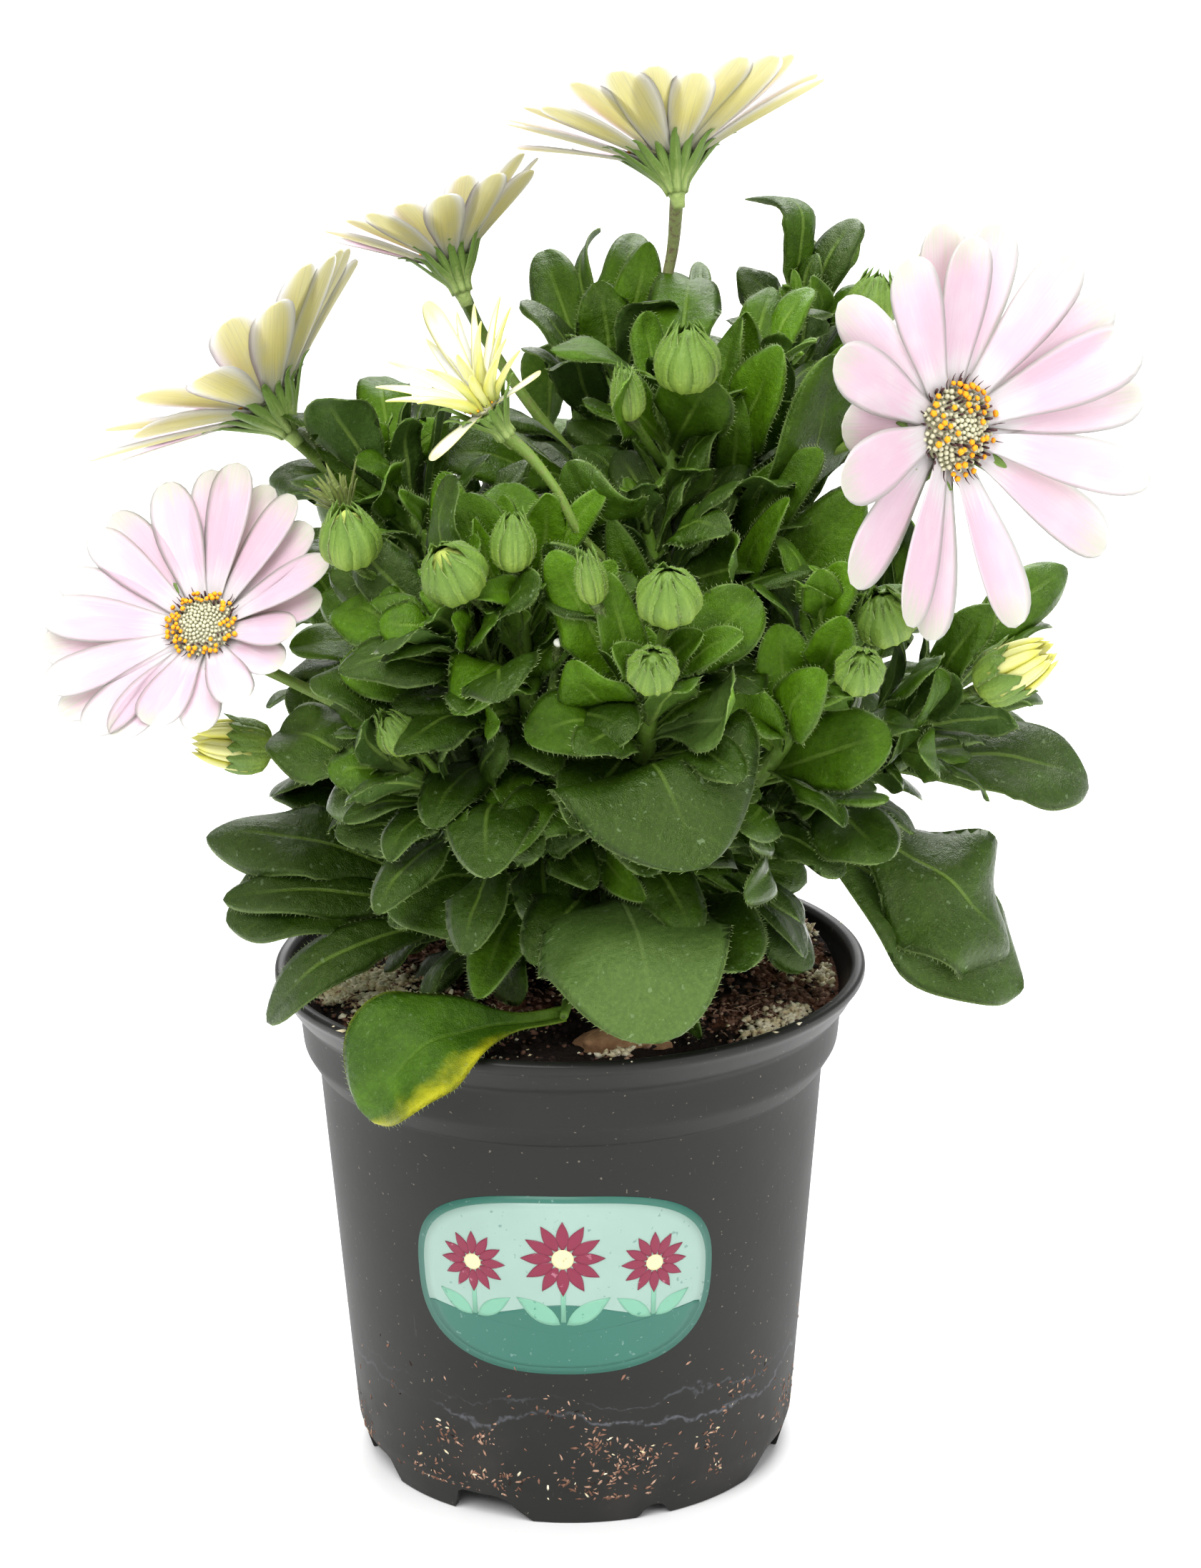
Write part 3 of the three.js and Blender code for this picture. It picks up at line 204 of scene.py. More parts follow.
# %% Leafy shoots at the front and top
SHOOTS = table("youth radius stem leaves", [
    ("top_back", 0.45, 2.2, [(9, -4, 132), (10, 4, 171), (9, 6, 207), (9, 6, 226)], """
    0.8 -4 29 246 11 3 F; 0.86 7 6 244 13 2 F; 0.95 6 31 250 6 5 FL; 0.95 15 25 251 9 4 F;
    0.88 17 9 251 10 2 F; 0.62 -27 -20 216 16 4 FU"""),
    ("top_centre", 0.6, 2.6, [(15, -20, 138), (18, -30, 181), (20, -32, 211), (20, -27, 228)], """
    0.74 0 -39 242 16 6 RU; 0.82 13 -60 238 12 -3 FR; 0.86 18 -20 244 9 -3 RF; 0.8 27 -49 236 16 2 F;
    0.92 25 9 246 15 3 FU; 0.95 27 22 246 5 3 FU; 0.95 20 18 245 7 1 F"""),
    ("top_right", 0.55, 2.4, [(19, -10, 133), (27, -18, 171), (29, -22, 203), (40, -14, 229)], """
    0.55 32 -25 243 9 3 LF; 0.72 39 -39 240 16 1 FL; 0.45 52 -36 237 20 4 FR; 0.86 35 -20 243 8 -2 F;
    0.95 48 0 244 9 2 FL; 0.9 41 3 244 9 2 F; 0.92 48 -26 239 5 2 U; 0.35 48 -40 221 12 5 LF;
    0.3 40 -49 214 11 4 FU; 0.62 33 -35 229 8 2 F; 0.2 55 -39 211 16 4 F"""),
    ("back_right", 0.45, 2.0, [(20, 6, 127), (39, 20, 166), (46, 24, 210), (46, 20, 235)], """
    0.92 37 40 254 11 12 FR; 0.9 47 45 247 12 4 FR; 0.95 58 38 248 8 -2 FL; 0.85 50 10 243 8 2 FR;
    0.8 70 30 226 14 3 U; 0.7 38 52 222 14 3 U"""),
    ("middle", 0.25, 2.2, [(11, -22, 138), (15, -40, 170), (18, -46, 192), (15, -46, 210)], """
    0.75 29 -67 207 14 -6 FL; 0.95 1 -58 222 18 6 FD; 0.85 29 -64 213 11 3 FU; 0.6 8 -54 218 5 -2 F;
    0.5 -2 -68 209 12 2 F; 0.4 2 -56 213 7 2 F; 0.45 9 -61 212 8 2 F"""),
    ("front_left", 0.75, 2.6, [(1, -22, 135), (-5, -42, 162), (-7, -52, 179), (-8, -58, 196)], """
    0.8 -23 -47 219 11 1 FL; 0.92 -19 -55 217 14 2 F; 0.92 -10 -45 217 14 2 FU; 1.0 -11 -57 217 6 0 F;
    0.95 -3 -65 219 9 -2 F; 0.9 -15 -66 215 5 -1 RF; 0.9 8 -62 220 6 2 FU; 0.85 -17 -71 202 8 6 FU;
    0.7 -6 -71 201 7 6 FU; 0.25 -13 -73 152 15 7 FU; 0.15 -3 -37 117 9 2 F; 0.62 9 -66 206 9 1 F;
    0.02 -17 -58 120 11 2 FU; 0.05 12 -62 141 7 1 F"""),
    ("upper_left", 0.55, 2.2, [(-4, -8, 130), (-16, -22, 172), (-27, -26, 200), (-34, -22, 215)], """
    0.92 -41 -10 222 9 3 F; 0.95 -36 2 227 11 3 F; 0.95 -40 -27 222 9 3 FU; 0.85 -38 -36 219 9 3 FU;
    0.95 -22 -24 223 8 2 F; 0.75 -32 -43 217 11 -2 FR; 0.7 -28 -51 216 7 2 FR; 0.6 -58 -4 209 15 4 FU;
    0.78 -44 -8 218 12 3 F; 0.55 -45 -34 212 18 3 FL; 0.45 -45 -48 196 14 4 FD;
    0.62 -39 -57 208 5 4 U; 0.35 -53 -30 181 14 3 FU"""),
    ("middle_left", 0.65, 2.2, [(-2, -20, 133), (-9, -44, 165), (-13, -56, 183), (-20, -62, 193)], """
    0.9 -42 -53 196 14 3 FU; 0.95 -34 -65 195 11 2 FU; 0.85 -34 -50 198 11 3 FU;
    0.92 -20 -74 199 8 2 FR; 0.55 -20 -78 182 16 9 FU; 0.35 -42 -56 184 18 7 FU;
    0.6 -47 -48 173 12 2 FU; 0.5 -12 -71 178 9 3 FL; 0.2 -54 -25 171 16 2 F"""),
    ("lower_left", 0.4, 2.2, [(-3, -24, 130), (-13, -44, 147), (-20, -54, 157), (-31, -58, 166)], """
    0.95 -54 -49 170 18 3 FU; 0.98 -44 -63 165 12 2 FU; 1.0 -29 -70 174 9 -1 F;
    0.98 -43 -60 173 5 2 U; 0.6 -33 -67 150 11 5 FL; 0.8 -46 -48 155 12 3 FU;
    0.15 -35 -50 136 26 4 FU; 0.1 -24 -37 122 14 2 FU"""),
    ("low_left", 0.3, 2.0, [(-4, -9, 117), (-13, -13, 121), (-22, -14, 126)], """
    0.9 -72 -11 137 18 6 FU; 0.8 -68 -22 128 11 4 FU; 0.7 -68 -20 122 20 5 FU;
    0.6 -60 -28 103 12 13 FL; 0.9 -60 8 140 18 5 U; 0.5 -55 25 122 19 6 U"""),
    ("front_centre", 0.65, 2.6, [(6, -26, 130), (13, -52, 158), (15, -66, 175), (16, -68, 184)], """
    0.8 1 -76 190 15 3 FL; 0.6 -7 -78 177 14 5 FU; 0.85 9 -80 195 8 2 FR; 0.9 35 -69 201 14 2 F;
    0.9 32 -76 196 8 2 FU; 0.95 25 -79 197 7 1 FL; 0.7 8 -75 207 9 3 F; 0.65 -2 -70 210 11 1 F;
    0.75 15 -68 195 8 1 F; 0.6 29 -82 187 19 -5 FU; 0.3 25 -87 156 42 15 FU; 0.02 17 -80 120 38 14 FU;
    0.02 25 -46 106 7 3 F"""),
    ("right_front", 0.75, 2.4, [(13, -20, 132), (34, -44, 156), (45, -52, 174), (50, -52, 194)], """
    0.92 47 -66 205 8 2 F; 0.8 52 -64 205 11 2 FL; 0.7 51 -69 196 9 1 F; 0.55 47 -72 187 12 5 FL;
    0.4 60 -62 172 16 4 FL; 0.62 40 -60 192 12 3 F; 0.5 32 -65 183 14 3 FD"""),
    ("right", 0.45, 2.2, [(15, -12, 128), (41, -26, 149), (62, -32, 162), (72, -30, 168)], """
    0.7 69 -59 185 11 3 FU; 0.8 80 -42 191 12 3 FU; 0.6 71 -52 180 12 3 FR; 0.65 68 -56 167 11 4 FR;
    0.45 65 -53 169 14 3 FR; 0.4 88 -33 119 31 5 FU; 0.5 103 -16 148 20 5 FU; 0.6 95 -7 153 14 4 FU;
    0.95 94 -14 165 8 2 FU; 0.9 100 1 187 11 3 F; 0.85 94 -5 180 12 2 FL"""),
    ("right_low", 0.35, 2.4, [(14, -14, 126), (25, -26, 137), (36, -30, 145), (44, -30, 150)], """
    0.95 60 -61 147 18 4 FU; 0.9 59 -65 162 8 2 FU; 0.6 34 -71 144 11 4 FR; 0.5 38 -73 155 9 3 FR;
    0.85 90 -28 109 26 4 FU; 0.1 33 -74 131 20 3 FU"""),
    ("front_rim", 0.3, 1.6, [(1, -14, 109), (0, -30, 109.5), (-1, -46, 110.5)], """
    0.95 -39 -60 96 19 7 FU"""),
])
for shoot in SHOOTS.values():
    typed = [leaf.split() for leaf in shoot["leaves"].split(";")]
    shoot["leaves"] = [(*map(float, numbers), side) for *numbers, side in typed]
leaf_total = sum(len(shoot["leaves"]) for shoot in SHOOTS.values())
print(len(SHOOTS), "shoots with", leaf_total, "leaves")

# %% [markdown]
# The shoots at the back and sides are alike, so a rule draws them: a stem that leans out, with its leaves
# in the spiral that most plants keep, each 137.5 degrees round from the last. The scatter is made from a
# sine, so that it gives the same leaves every time.

# %% Shoots at the back and sides
SIDE_SHOOTS = table("bearing out top leaves leaf", [
    ("back", 100, 44, 200, 8, 44),
    ("back_left", 145, 50, 186, 8, 44),
    ("back_right_high", 58, 58, 202, 8, 44),
    ("left_side", 172, 46, 176, 7, 38),
    ("right_side", 12, 62, 172, 8, 42),
    ("low_back_left", 130, 46, 146, 7, 50),
    ("low_back", 82, 48, 144, 7, 50),
    ("low_back_right", 38, 56, 146, 7, 50),
])
SIDE_YOUTH = 0.45
GOLDEN_ANGLE = math.radians(137.5)
CROWN_TOP = (3, -3, 112)


def scatter(seed):
    """A number between 0 and 1 that looks random but is always the same for the same seed."""
    value = math.sin(seed * 12.9898) * 43758.5453
    return value - math.floor(value)


def smooth_path(points):
    """A function from 0..1 to a point on the smooth curve through the points, and the way it runs there."""
    knots = [np.array(p, float) for p in points]
    before = 2 * knots[0] - knots[1]
    after = 2 * knots[-1] - knots[-2]
    knots = [before, *knots, after]
    spans = len(points) - 1

    def position(t):
        span = min(int(t * spans), spans - 1)
        part = t * spans - span
        a, b, c, d = knots[span:span + 4]
        steps = [math.sqrt(np.linalg.norm(q - p)) or 1.0 for p, q in ((a, b), (b, c), (c, d))]
        start = (b - a) / steps[0] - (c - a) / (steps[0] + steps[1]) + (c - b) / steps[1]
        end = (c - b) / steps[1] - (d - b) / (steps[1] + steps[2]) + (d - c) / steps[2]
        start, end = start * steps[1], end * steps[1]
        return (b + start * part + (-3 * b + 3 * c - 2 * start - end) * part ** 2
                + (2 * b - 2 * c + start + end) * part ** 3)

    def place(t):
        low, high = max(t - 1e-4, 0), min(t + 1e-4, 1)
        return position(t), unit(position(high) - position(low))

    return place


def stem_place(stem, place):
    """The point on a shoot's stem, and the way it runs: 0 is its first listed point and 1 its top."""
    return smooth_path([CROWN_TOP, *stem])((1 + place * (len(stem) - 1)) / len(stem))


def side_shoot(bearing, out, top, leaves, leaf, seed):
    """Stem and leaves of one shoot at the back or side."""
    turn = math.radians(bearing)
    cx, cy = math.cos(turn), math.sin(turn)
    stem = [(3 + 9 * cx, -3 + 9 * cy, 120),
            (3 + 0.6 * out * cx, -3 + 0.6 * out * cy, 120 + 0.45 * (top - 120)),
            (3 + out * cx, -3 + out * cy, top)]
    grown = []
    for i in range(leaves):
        place = 0.4 + 0.6 * (i / (leaves - 1))
        point, axis = stem_place(stem, place)
        sideways = np.array([-cy, cx, 0])
        outward = unit(np.cross(sideways, axis))
        turned = i * GOLDEN_ANGLE + math.radians(40 * scatter(seed + i))
        spread = math.radians(76 - 50 * place + 14 * scatter(seed + 2 * i))
        around = sideways * math.cos(turned) + outward * math.sin(turned)
        along = axis * math.cos(spread) + around * math.sin(spread)
        length = leaf * (1.1 - 0.5 * place) * (0.85 + 0.3 * scatter(seed + 3 * i))
        width = length * (0.36 + 0.1 * scatter(seed + 4 * i))
        grown.append((place, *(point + along * length), width, 4, axis))
    return {"youth": SIDE_YOUTH, "radius": 2, "stem": stem, "leaves": grown}


for number, (name, plan) in enumerate(SIDE_SHOOTS.items()):
    SHOOTS[name] = side_shoot(**plan, seed=10 * number + 1)
print("shoots in all:", len(SHOOTS))

# %% [markdown]
# ## A blade: the form that leaves, rays and bracts share
# A leaf, a ray petal and a bract are all blades: a thin closed sheet along a centre line. They could be cut
# from planes and thickened by a modifier, but then every blade would need its own object. Here rows of
# points are laid across the centre line, once for the upper side and once for the underside. Both sides
# share their margins and one point at the tip, so each blade is closed and has no loose faces.

# %% A basket that gathers points and faces
SIDE_LETTERS = {"F": (0, -1, 0.2), "B": (0, 1, 0.2), "L": (-1, 0, 0), "R": (1, 0, 0), "U": (0, 0, 1),
                "D": (0, 0, -1)}


def facing(side):
    """The direction named by letters such as FU, for front and up."""
    if not isinstance(side, str):
        return unit(side)
    return unit(sum(np.array(SIDE_LETTERS[letter], float) for letter in side))


def ease(low, high, x):
    """0 below low, 1 above high, and a soft S between them."""
    part = np.clip((np.asarray(x, float) - low) / (high - low), 0, 1)
    return part * part * (3 - 2 * part)


class Basket:
    """Points, faces and two sets of surface coordinates that become one Blender object.

    span holds millimetres along and across a blade and the tone of the piece; share holds the part of the
    length, the part of the half width, and a number that differs from blade to blade."""

    def __init__(self):
        self.points, self.span, self.share = [], [], []
        self.faces, self.finishes = [], []
        self.count = 0

    def add(self, points, faces, finishes, span=(0, 0, 0.5), share=(0, 0, 0.5)):
        points = np.asarray(points, float)
        faces = [tuple(int(i) + self.count for i in face) for face in faces]
        self.points.append(points)
        self.span.append(np.broadcast_to(np.asarray(span, float), points.shape))
        self.share.append(np.broadcast_to(np.asarray(share, float), points.shape))
        self.faces += faces
        self.finishes += [finishes] * len(faces) if isinstance(finishes, int) else list(finishes)
        self.count += len(points)


def new_mesh(name, points, faces):
    """A mesh from points in millimetres."""
    mesh = bpy.data.meshes.new(name)
    mesh.from_pydata(to_metres(points).tolist(), [], faces)
    return mesh


def make_piece(name, basket, finishes, slot, *nodes):
    """Makes the object, gives it its finishes, and stands it in place of its plain solids."""
    mesh = new_mesh(name, np.concatenate(basket.points), basket.faces)
    for key in ("span", "share"):
        attribute = mesh.attributes.new(key, "FLOAT_VECTOR", "POINT")
        attribute.data.foreach_set("vector", np.concatenate(getattr(basket, key)).astype(np.float32).ravel())
    for finish in finishes:
        mesh.materials.append(finish)
    mesh.polygons.foreach_set("material_index", np.array(basket.finishes, np.int32))
    mesh.shade_smooth()
    mesh.update()
    piece = stand(name, mesh)
    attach(piece, "root")
    if nodes:
        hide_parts(*nodes)
    return piece


# %% The blade itself
def blade_faces(rows, columns):
    """Faces of a closed blade, and for each 0 on the upper side and 1 on the underside."""
    tip = rows * columns

    def upper(i, j):
        return i * columns + j

    def under(i, j):
        return upper(i, j) if j in (0, columns - 1) else tip + 1 + i * (columns - 2) + j - 1

    faces, sides = [], []
    for j in range(columns - 1):
        for i in range(rows - 1):
            faces.append((upper(i, j), upper(i, j + 1), upper(i + 1, j + 1), upper(i + 1, j)))
            faces.append((under(i, j + 1), under(i, j), under(i + 1, j), under(i + 1, j + 1)))
            sides += [0, 1]
        faces.append((upper(rows - 1, j), upper(rows - 1, j + 1), tip))
        faces.append((under(rows - 1, j + 1), under(rows - 1, j), tip))
        sides += [0, 1]
    base = [upper(0, j) for j in reversed(range(columns))] + [under(0, j) for j in range(1, columns - 1)]
    return faces + [tuple(base)], sides + [1]


BLADE_FACES = {}


def line_frames(line, side):
    """Along, facing and across for each point of a line, with facing as near to side as can be."""
    along = unit(np.gradient(line, axis=0))
    normal = np.broadcast_to(side, line.shape)
    normal = unit(normal - along * np.sum(normal * along, axis=1, keepdims=True))
    return along, normal, np.cross(along, normal)


def add_blade(basket, line, side, left, right, lift, thick, finishes, tone, key, t):
    """One closed blade: half widths to the left and right, and grids of heights and thicknesses.

    Gives back its upper side as a grid of points, and the way across at each row."""
    rows, columns = len(line) - 1, lift.shape[1]
    if (rows, columns) not in BLADE_FACES:
        BLADE_FACES[rows, columns] = blade_faces(rows, columns)
    faces, sides = BLADE_FACES[rows, columns]
    _, normal, across = line_frames(line, side)
    v = np.linspace(-1, 1, columns)
    half = np.where(v[None, :] < 0, left[:, None], right[:, None])
    offset = half * v[None, :]
    sheet = line[:, None] + across[:, None] * offset[..., None] + normal[:, None] * lift[..., None]
    below = sheet - normal[:, None] * thick[..., None]

    def joined(upper, lower):
        """The rows of the upper side, the tip and the underside, in the order that the faces count them."""
        return np.concatenate([upper[:rows].reshape(-1, 3), upper[rows:, columns // 2],
                               lower[:rows, 1:-1].reshape(-1, 3)])

    length = np.concatenate([[0], np.cumsum(np.linalg.norm(np.diff(line, axis=0), axis=1))])
    span = np.stack(np.broadcast_arrays(length[:, None], offset, tone), axis=-1)
    share = np.stack(np.broadcast_arrays(t[:, None], v, key), axis=-1)
    basket.add(joined(sheet, below), faces, [finishes[side] for side in sides], joined(span, span),
               joined(share, share))
    return sheet, across


# %% [markdown]
# ## Hairs
# The margins of the leaves and the stalks carry fine pale hairs, which give the plant its soft outline.
# Blender's hair tools would be lighter, but these hairs have to stay with the exported model, so each one
# is a tiny closed spike of four points.

# %% Fine hairs
SPIKE_FACES = [(0, 1, 2), (0, 3, 1), (1, 3, 2), (2, 3, 0)]


def add_hairs(basket, roots, ways, length, thickness, finish, tone, seed):
    """A spike at each root, pointing the given way, with some scatter in length and lean."""
    random = np.random.default_rng(seed)
    count = len(roots)
    ways = unit(unit(ways) + random.normal(0, 0.22, (count, 3)))
    sizes = length * random.uniform(0.45, 1.15, (count, 1))
    spare = unit(np.cross(ways, random.normal(0, 1, (count, 3))))
    other = np.cross(ways, spare)
    corners = [roots + thickness * (spare * math.cos(a) + other * math.sin(a)) for a in (0, 2.094, 4.189)]
    points = np.stack([*corners, roots + ways * sizes], axis=1).reshape(-1, 3)
    faces = [tuple(4 * n + k for k in face) for n in range(count) for face in SPIKE_FACES]
    basket.add(points, faces, finish, (0, 0, tone), (0, 0, 0.5))


def add_margin_hairs(basket, sheet, ways, parts, lean, length, thickness, finish, tone, seed):
    """Hairs along both margins of a blade, at rows that may lie between two of its own, leaning one way."""
    rows = np.arange(len(sheet))
    for edge, sign in ((0, -1), (sheet.shape[1] - 1, 1)):
        roots, out = (np.stack([np.interp(parts, rows, grid[:, k]) for k in range(3)], axis=1)
                      for grid in (sheet[:, edge], sign * ways))
        add_hairs(basket, roots, out + lean, length, thickness, finish, tone, seed + sign)


# %% [markdown]
# ## Stems and turned forms
# A stem is a tube: rings of points set square to a smooth path, with a faint ribbing. Buds, florets and
# lumps are turned round an axis, as on a lathe. All of them are capped, so that every form is closed.

# %% Stems and turned forms
def circle(sides):
    """The bearings of points spaced evenly round a circle."""
    return np.arange(sides) / sides * 2 * math.pi


def capped_rings(rings, sides, upward=False):
    """Faces over a first pole, rings of points and a last pole; upward means that the first is the lower."""
    last, end = 1 + rings * sides, 1 + (rings - 1) * sides
    faces = []
    for j in range(sides):
        k = (j + 1) % sides
        faces.append((0, 1 + j, 1 + k))
        for a in range(1, end, sides):
            faces.append((a + j, a + sides + j, a + sides + k, a + k))
        faces.append((last, end + k, end + j))
    return [(face[0], *face[:0:-1]) for face in faces] if upward else faces


def add_tube(basket, points, radii, finish, tone, sides=10, ribs=0.0, steps=24):
    """A closed round stem on a smooth path; radii are given at even places along it."""
    path = smooth_path(points)
    t = np.linspace(0, 1, steps)
    line = np.array([path(x)[0] for x in t])
    radius = np.interp(t, np.linspace(0, 1, len(radii)), radii)
    guide = unit([0.31, 0.87, 0.38])
    _, normal, across = line_frames(line, guide)
    angle = circle(sides)
    swell = 1 + ribs * np.cos(5 * angle)
    ring = normal[:, None] * np.cos(angle)[None, :, None] + across[:, None] * np.sin(angle)[None, :, None]
    body = line[:, None] + ring * (radius[:, None] * swell[None])[..., None]
    points = np.concatenate([line[:1], body.reshape(-1, 3), line[-1:]])
    length = np.linalg.norm(np.diff(line, axis=0), axis=1).sum()
    span, share = np.zeros((2, len(points), 3))
    span[1:-1, 0] = np.repeat(t * length, sides)
    span[1:-1, 1] = np.tile(angle, steps)
    span[:, 2] = tone
    share[1:-1, 0] = np.repeat(t, sides)
    share[:, 2] = 0.5
    basket.add(points, capped_rings(steps, sides), finish, span, share)
    return body, ring


def turned_form(profile, sides):
    """Points and faces of a form turned round its Z axis; its (radius, height) profile runs pole to pole."""
    rings = [(radius * math.cos(a), radius * math.sin(a), height) for radius, height in profile[1:-1]
             for a in circle(sides)]
    points = np.array([(0, 0, profile[0][1]), *rings, (0, 0, profile[-1][1])], float)
    return points, capped_rings(len(profile) - 2, sides, upward=True)


def add_turned(basket, profile, origin, turn, finish, tone, sides=16):
    """A turned form with an origin and a turn of its own."""
    points, faces = turned_form(profile, sides)
    rise = points[:, 2]
    share = np.zeros((len(points), 3))
    share[:, 0] = (rise - rise.min()) / max(np.ptp(rise), 1e-6)
    share[:, 2] = 0.5
    placed = points @ np.array(turn).T + np.array(origin)
    basket.add(placed, faces, finish, points * (1, 1, 0) + (0, 0, tone), share)


def turn_towards(way):
    """The smallest turn that points +Z that way, as a 3 by 3 array."""
    return np.array(Vector((0, 0, 1)).rotation_difference(Vector(unit(way))).to_matrix())


def spoke(turn, angle):
    """The direction at a bearing round a turned form's axis."""
    return turn @ np.array([math.cos(angle), math.sin(angle), 0])


# %% [markdown]
# ## Finishes
# Each finish starts from Blender's Principled shader. Two small helpers keep the node work short. One makes a
# node, sets its plain values and joins what feeds it; the other lets a + b stand for a Math node that adds.
# Patterns are laid out on the two sets of surface coordinates that every blade carries, so veins and
# streaks follow each leaf and petal wherever it turns.

# %% A field: a number that varies over a surface
class Field:
    """One output of a node. Sums, products and steps of fields make the nodes that work them out."""

    def __init__(self, finish, socket):
        self.finish, self.socket = finish, socket

    def __add__(self, other):
        return self.finish.math("ADD", self, other)

    def __sub__(self, other):
        return self.finish.math("SUBTRACT", self, other)

    def __rsub__(self, other):
        return self.finish.math("SUBTRACT", other, self)

    def __mul__(self, other):
        return self.finish.math("MULTIPLY", self, other)

    def __truediv__(self, other):
        return self.finish.math("DIVIDE", self, other)

    def __abs__(self):
        return self.finish.math("ABSOLUTE", self)

    def band(self, low, high):
        """0 below low, 1 above high, with a soft step; low may be the larger."""
        return self.finish.node("MapRange", settings={"interpolation_type": "SMOOTHSTEP"}, Value=self,
                                From_Min=low, From_Max=high)

    def ranged(self, low, high, start, end):
        """The run from low to high, stretched to run from start to end."""
        return self.finish.node("MapRange", Value=self, From_Min=low, From_Max=high, To_Min=start, To_Max=end)

    def split(self):
        """The three numbers of a vector."""
        made = self.finish.tree.nodes.new("ShaderNodeSeparateXYZ")
        self.finish.tree.links.new(self.socket, made.inputs[0])
        return [Field(self.finish, socket) for socket in made.outputs]


# %% A helper for node trees
class Finish:
    """A material with a Principled shader, and short ways to feed it."""

    def __init__(self, name, roughness=0.5, **plain):
        self.material = bpy.data.materials.new(name)
        self.material.use_nodes = True
        self.tree = self.material.node_tree
        self.shader = next(n for n in self.tree.nodes if n.type == "BSDF_PRINCIPLED")
        self.shader.inputs["Roughness"].default_value = roughness
        for key, value in plain.items():
            self.shader.inputs[key.replace("_", " ")].default_value = value

    def node(self, kind, out=0, settings=None, **feeds):
        """Makes a node; feeds are named by socket, or by its number after an underscore."""
        made = self.tree.nodes.new("ShaderNode" + kind)
        for key, value in (settings or {}).items():
            setattr(made, key, value)
        for key, value in feeds.items():
            socket = made.inputs[int(key[1:])] if key[1:].isdigit() else made.inputs[key.replace("_", " ")]
            if isinstance(value, Field):
                self.tree.links.new(value.socket, socket)
            else:
                socket.default_value = value
        return Field(self, made.outputs[out])

    def math(self, operation, a, b=0.0):
        return self.node("Math", settings={"operation": operation}, _0=a, _1=b)

    def mix(self, part, a, b, blend="MIX"):
        colours = [c if isinstance(c, Field) else (*c, 1.0) for c in (a, b)]
        return self.node("Mix", out=2, settings={"data_type": "RGBA", "blend_type": blend},
                         _0=part, _6=colours[0], _7=colours[1])

    def noise(self, where, scale, detail=3.0, roughness=0.55):
        return self.node("TexNoise", Vector=where, Scale=scale, Detail=detail, Roughness=roughness)

    def object_place(self):
        return self.node("TexCoord", out=3)

    def scaled(self, where, x, y, z):
        return self.node("Mapping", Vector=where, Scale=(x, y, z))

    def surface(self, name):
        """One set of surface coordinates, as a vector."""
        return self.node("Attribute", out=1, settings={"attribute_name": name, "attribute_type": "GEOMETRY"})

    def blade(self, step):
        """All the coordinates of a blade, and a place for noise that lies a step away on each next blade."""
        span, share = self.surface("span"), self.surface("share")
        place = self.node("VectorMath", settings={"operation": "MULTIPLY_ADD"}, _0=share, _1=(0, 0, step),
                          _2=span)
        names = ("along", "across", "tone", "part", "side", "key")
        return SimpleNamespace(place=place, **dict(zip(names, span.split() + share.split())))

    def feed(self, socket, field):
        self.tree.links.new(field.socket, self.shader.inputs[socket])

    def bump(self, height, strength, distance):
        self.feed("Normal", self.node("Bump", Height=height, Strength=strength, Distance=distance))


def shade(red, green, blue):
    """A colour typed as 0 to 255 screen values, turned into the linear values that shaders use."""
    return tuple((v / 255 / 12.92) if v <= 10 else (((v / 255) + 0.055) / 1.055) ** 2.4
                 for v in (red, green, blue))


# %% [markdown]
# ### Leaf green
# Old leaves are dark, young ones bright and yellowish, so a tone runs from one to the other. Over it lie a
# pale midrib, cloudy mottling, dust and a pale, slightly thickened margin, which is drawn at a fixed number
# of millimetres from the edge. The blade is smooth but gritty: a fairly low roughness over a fine bump gives
# broad highlights that break up, as they do on a leaf covered with tiny glands.

# %% Leaf finishes
GREEN_SHEEN = (0.85, 1.0, 0.55, 1.0)
DUST = shade(130, 150, 104)
DRIED_WATER = shade(136, 158, 120)


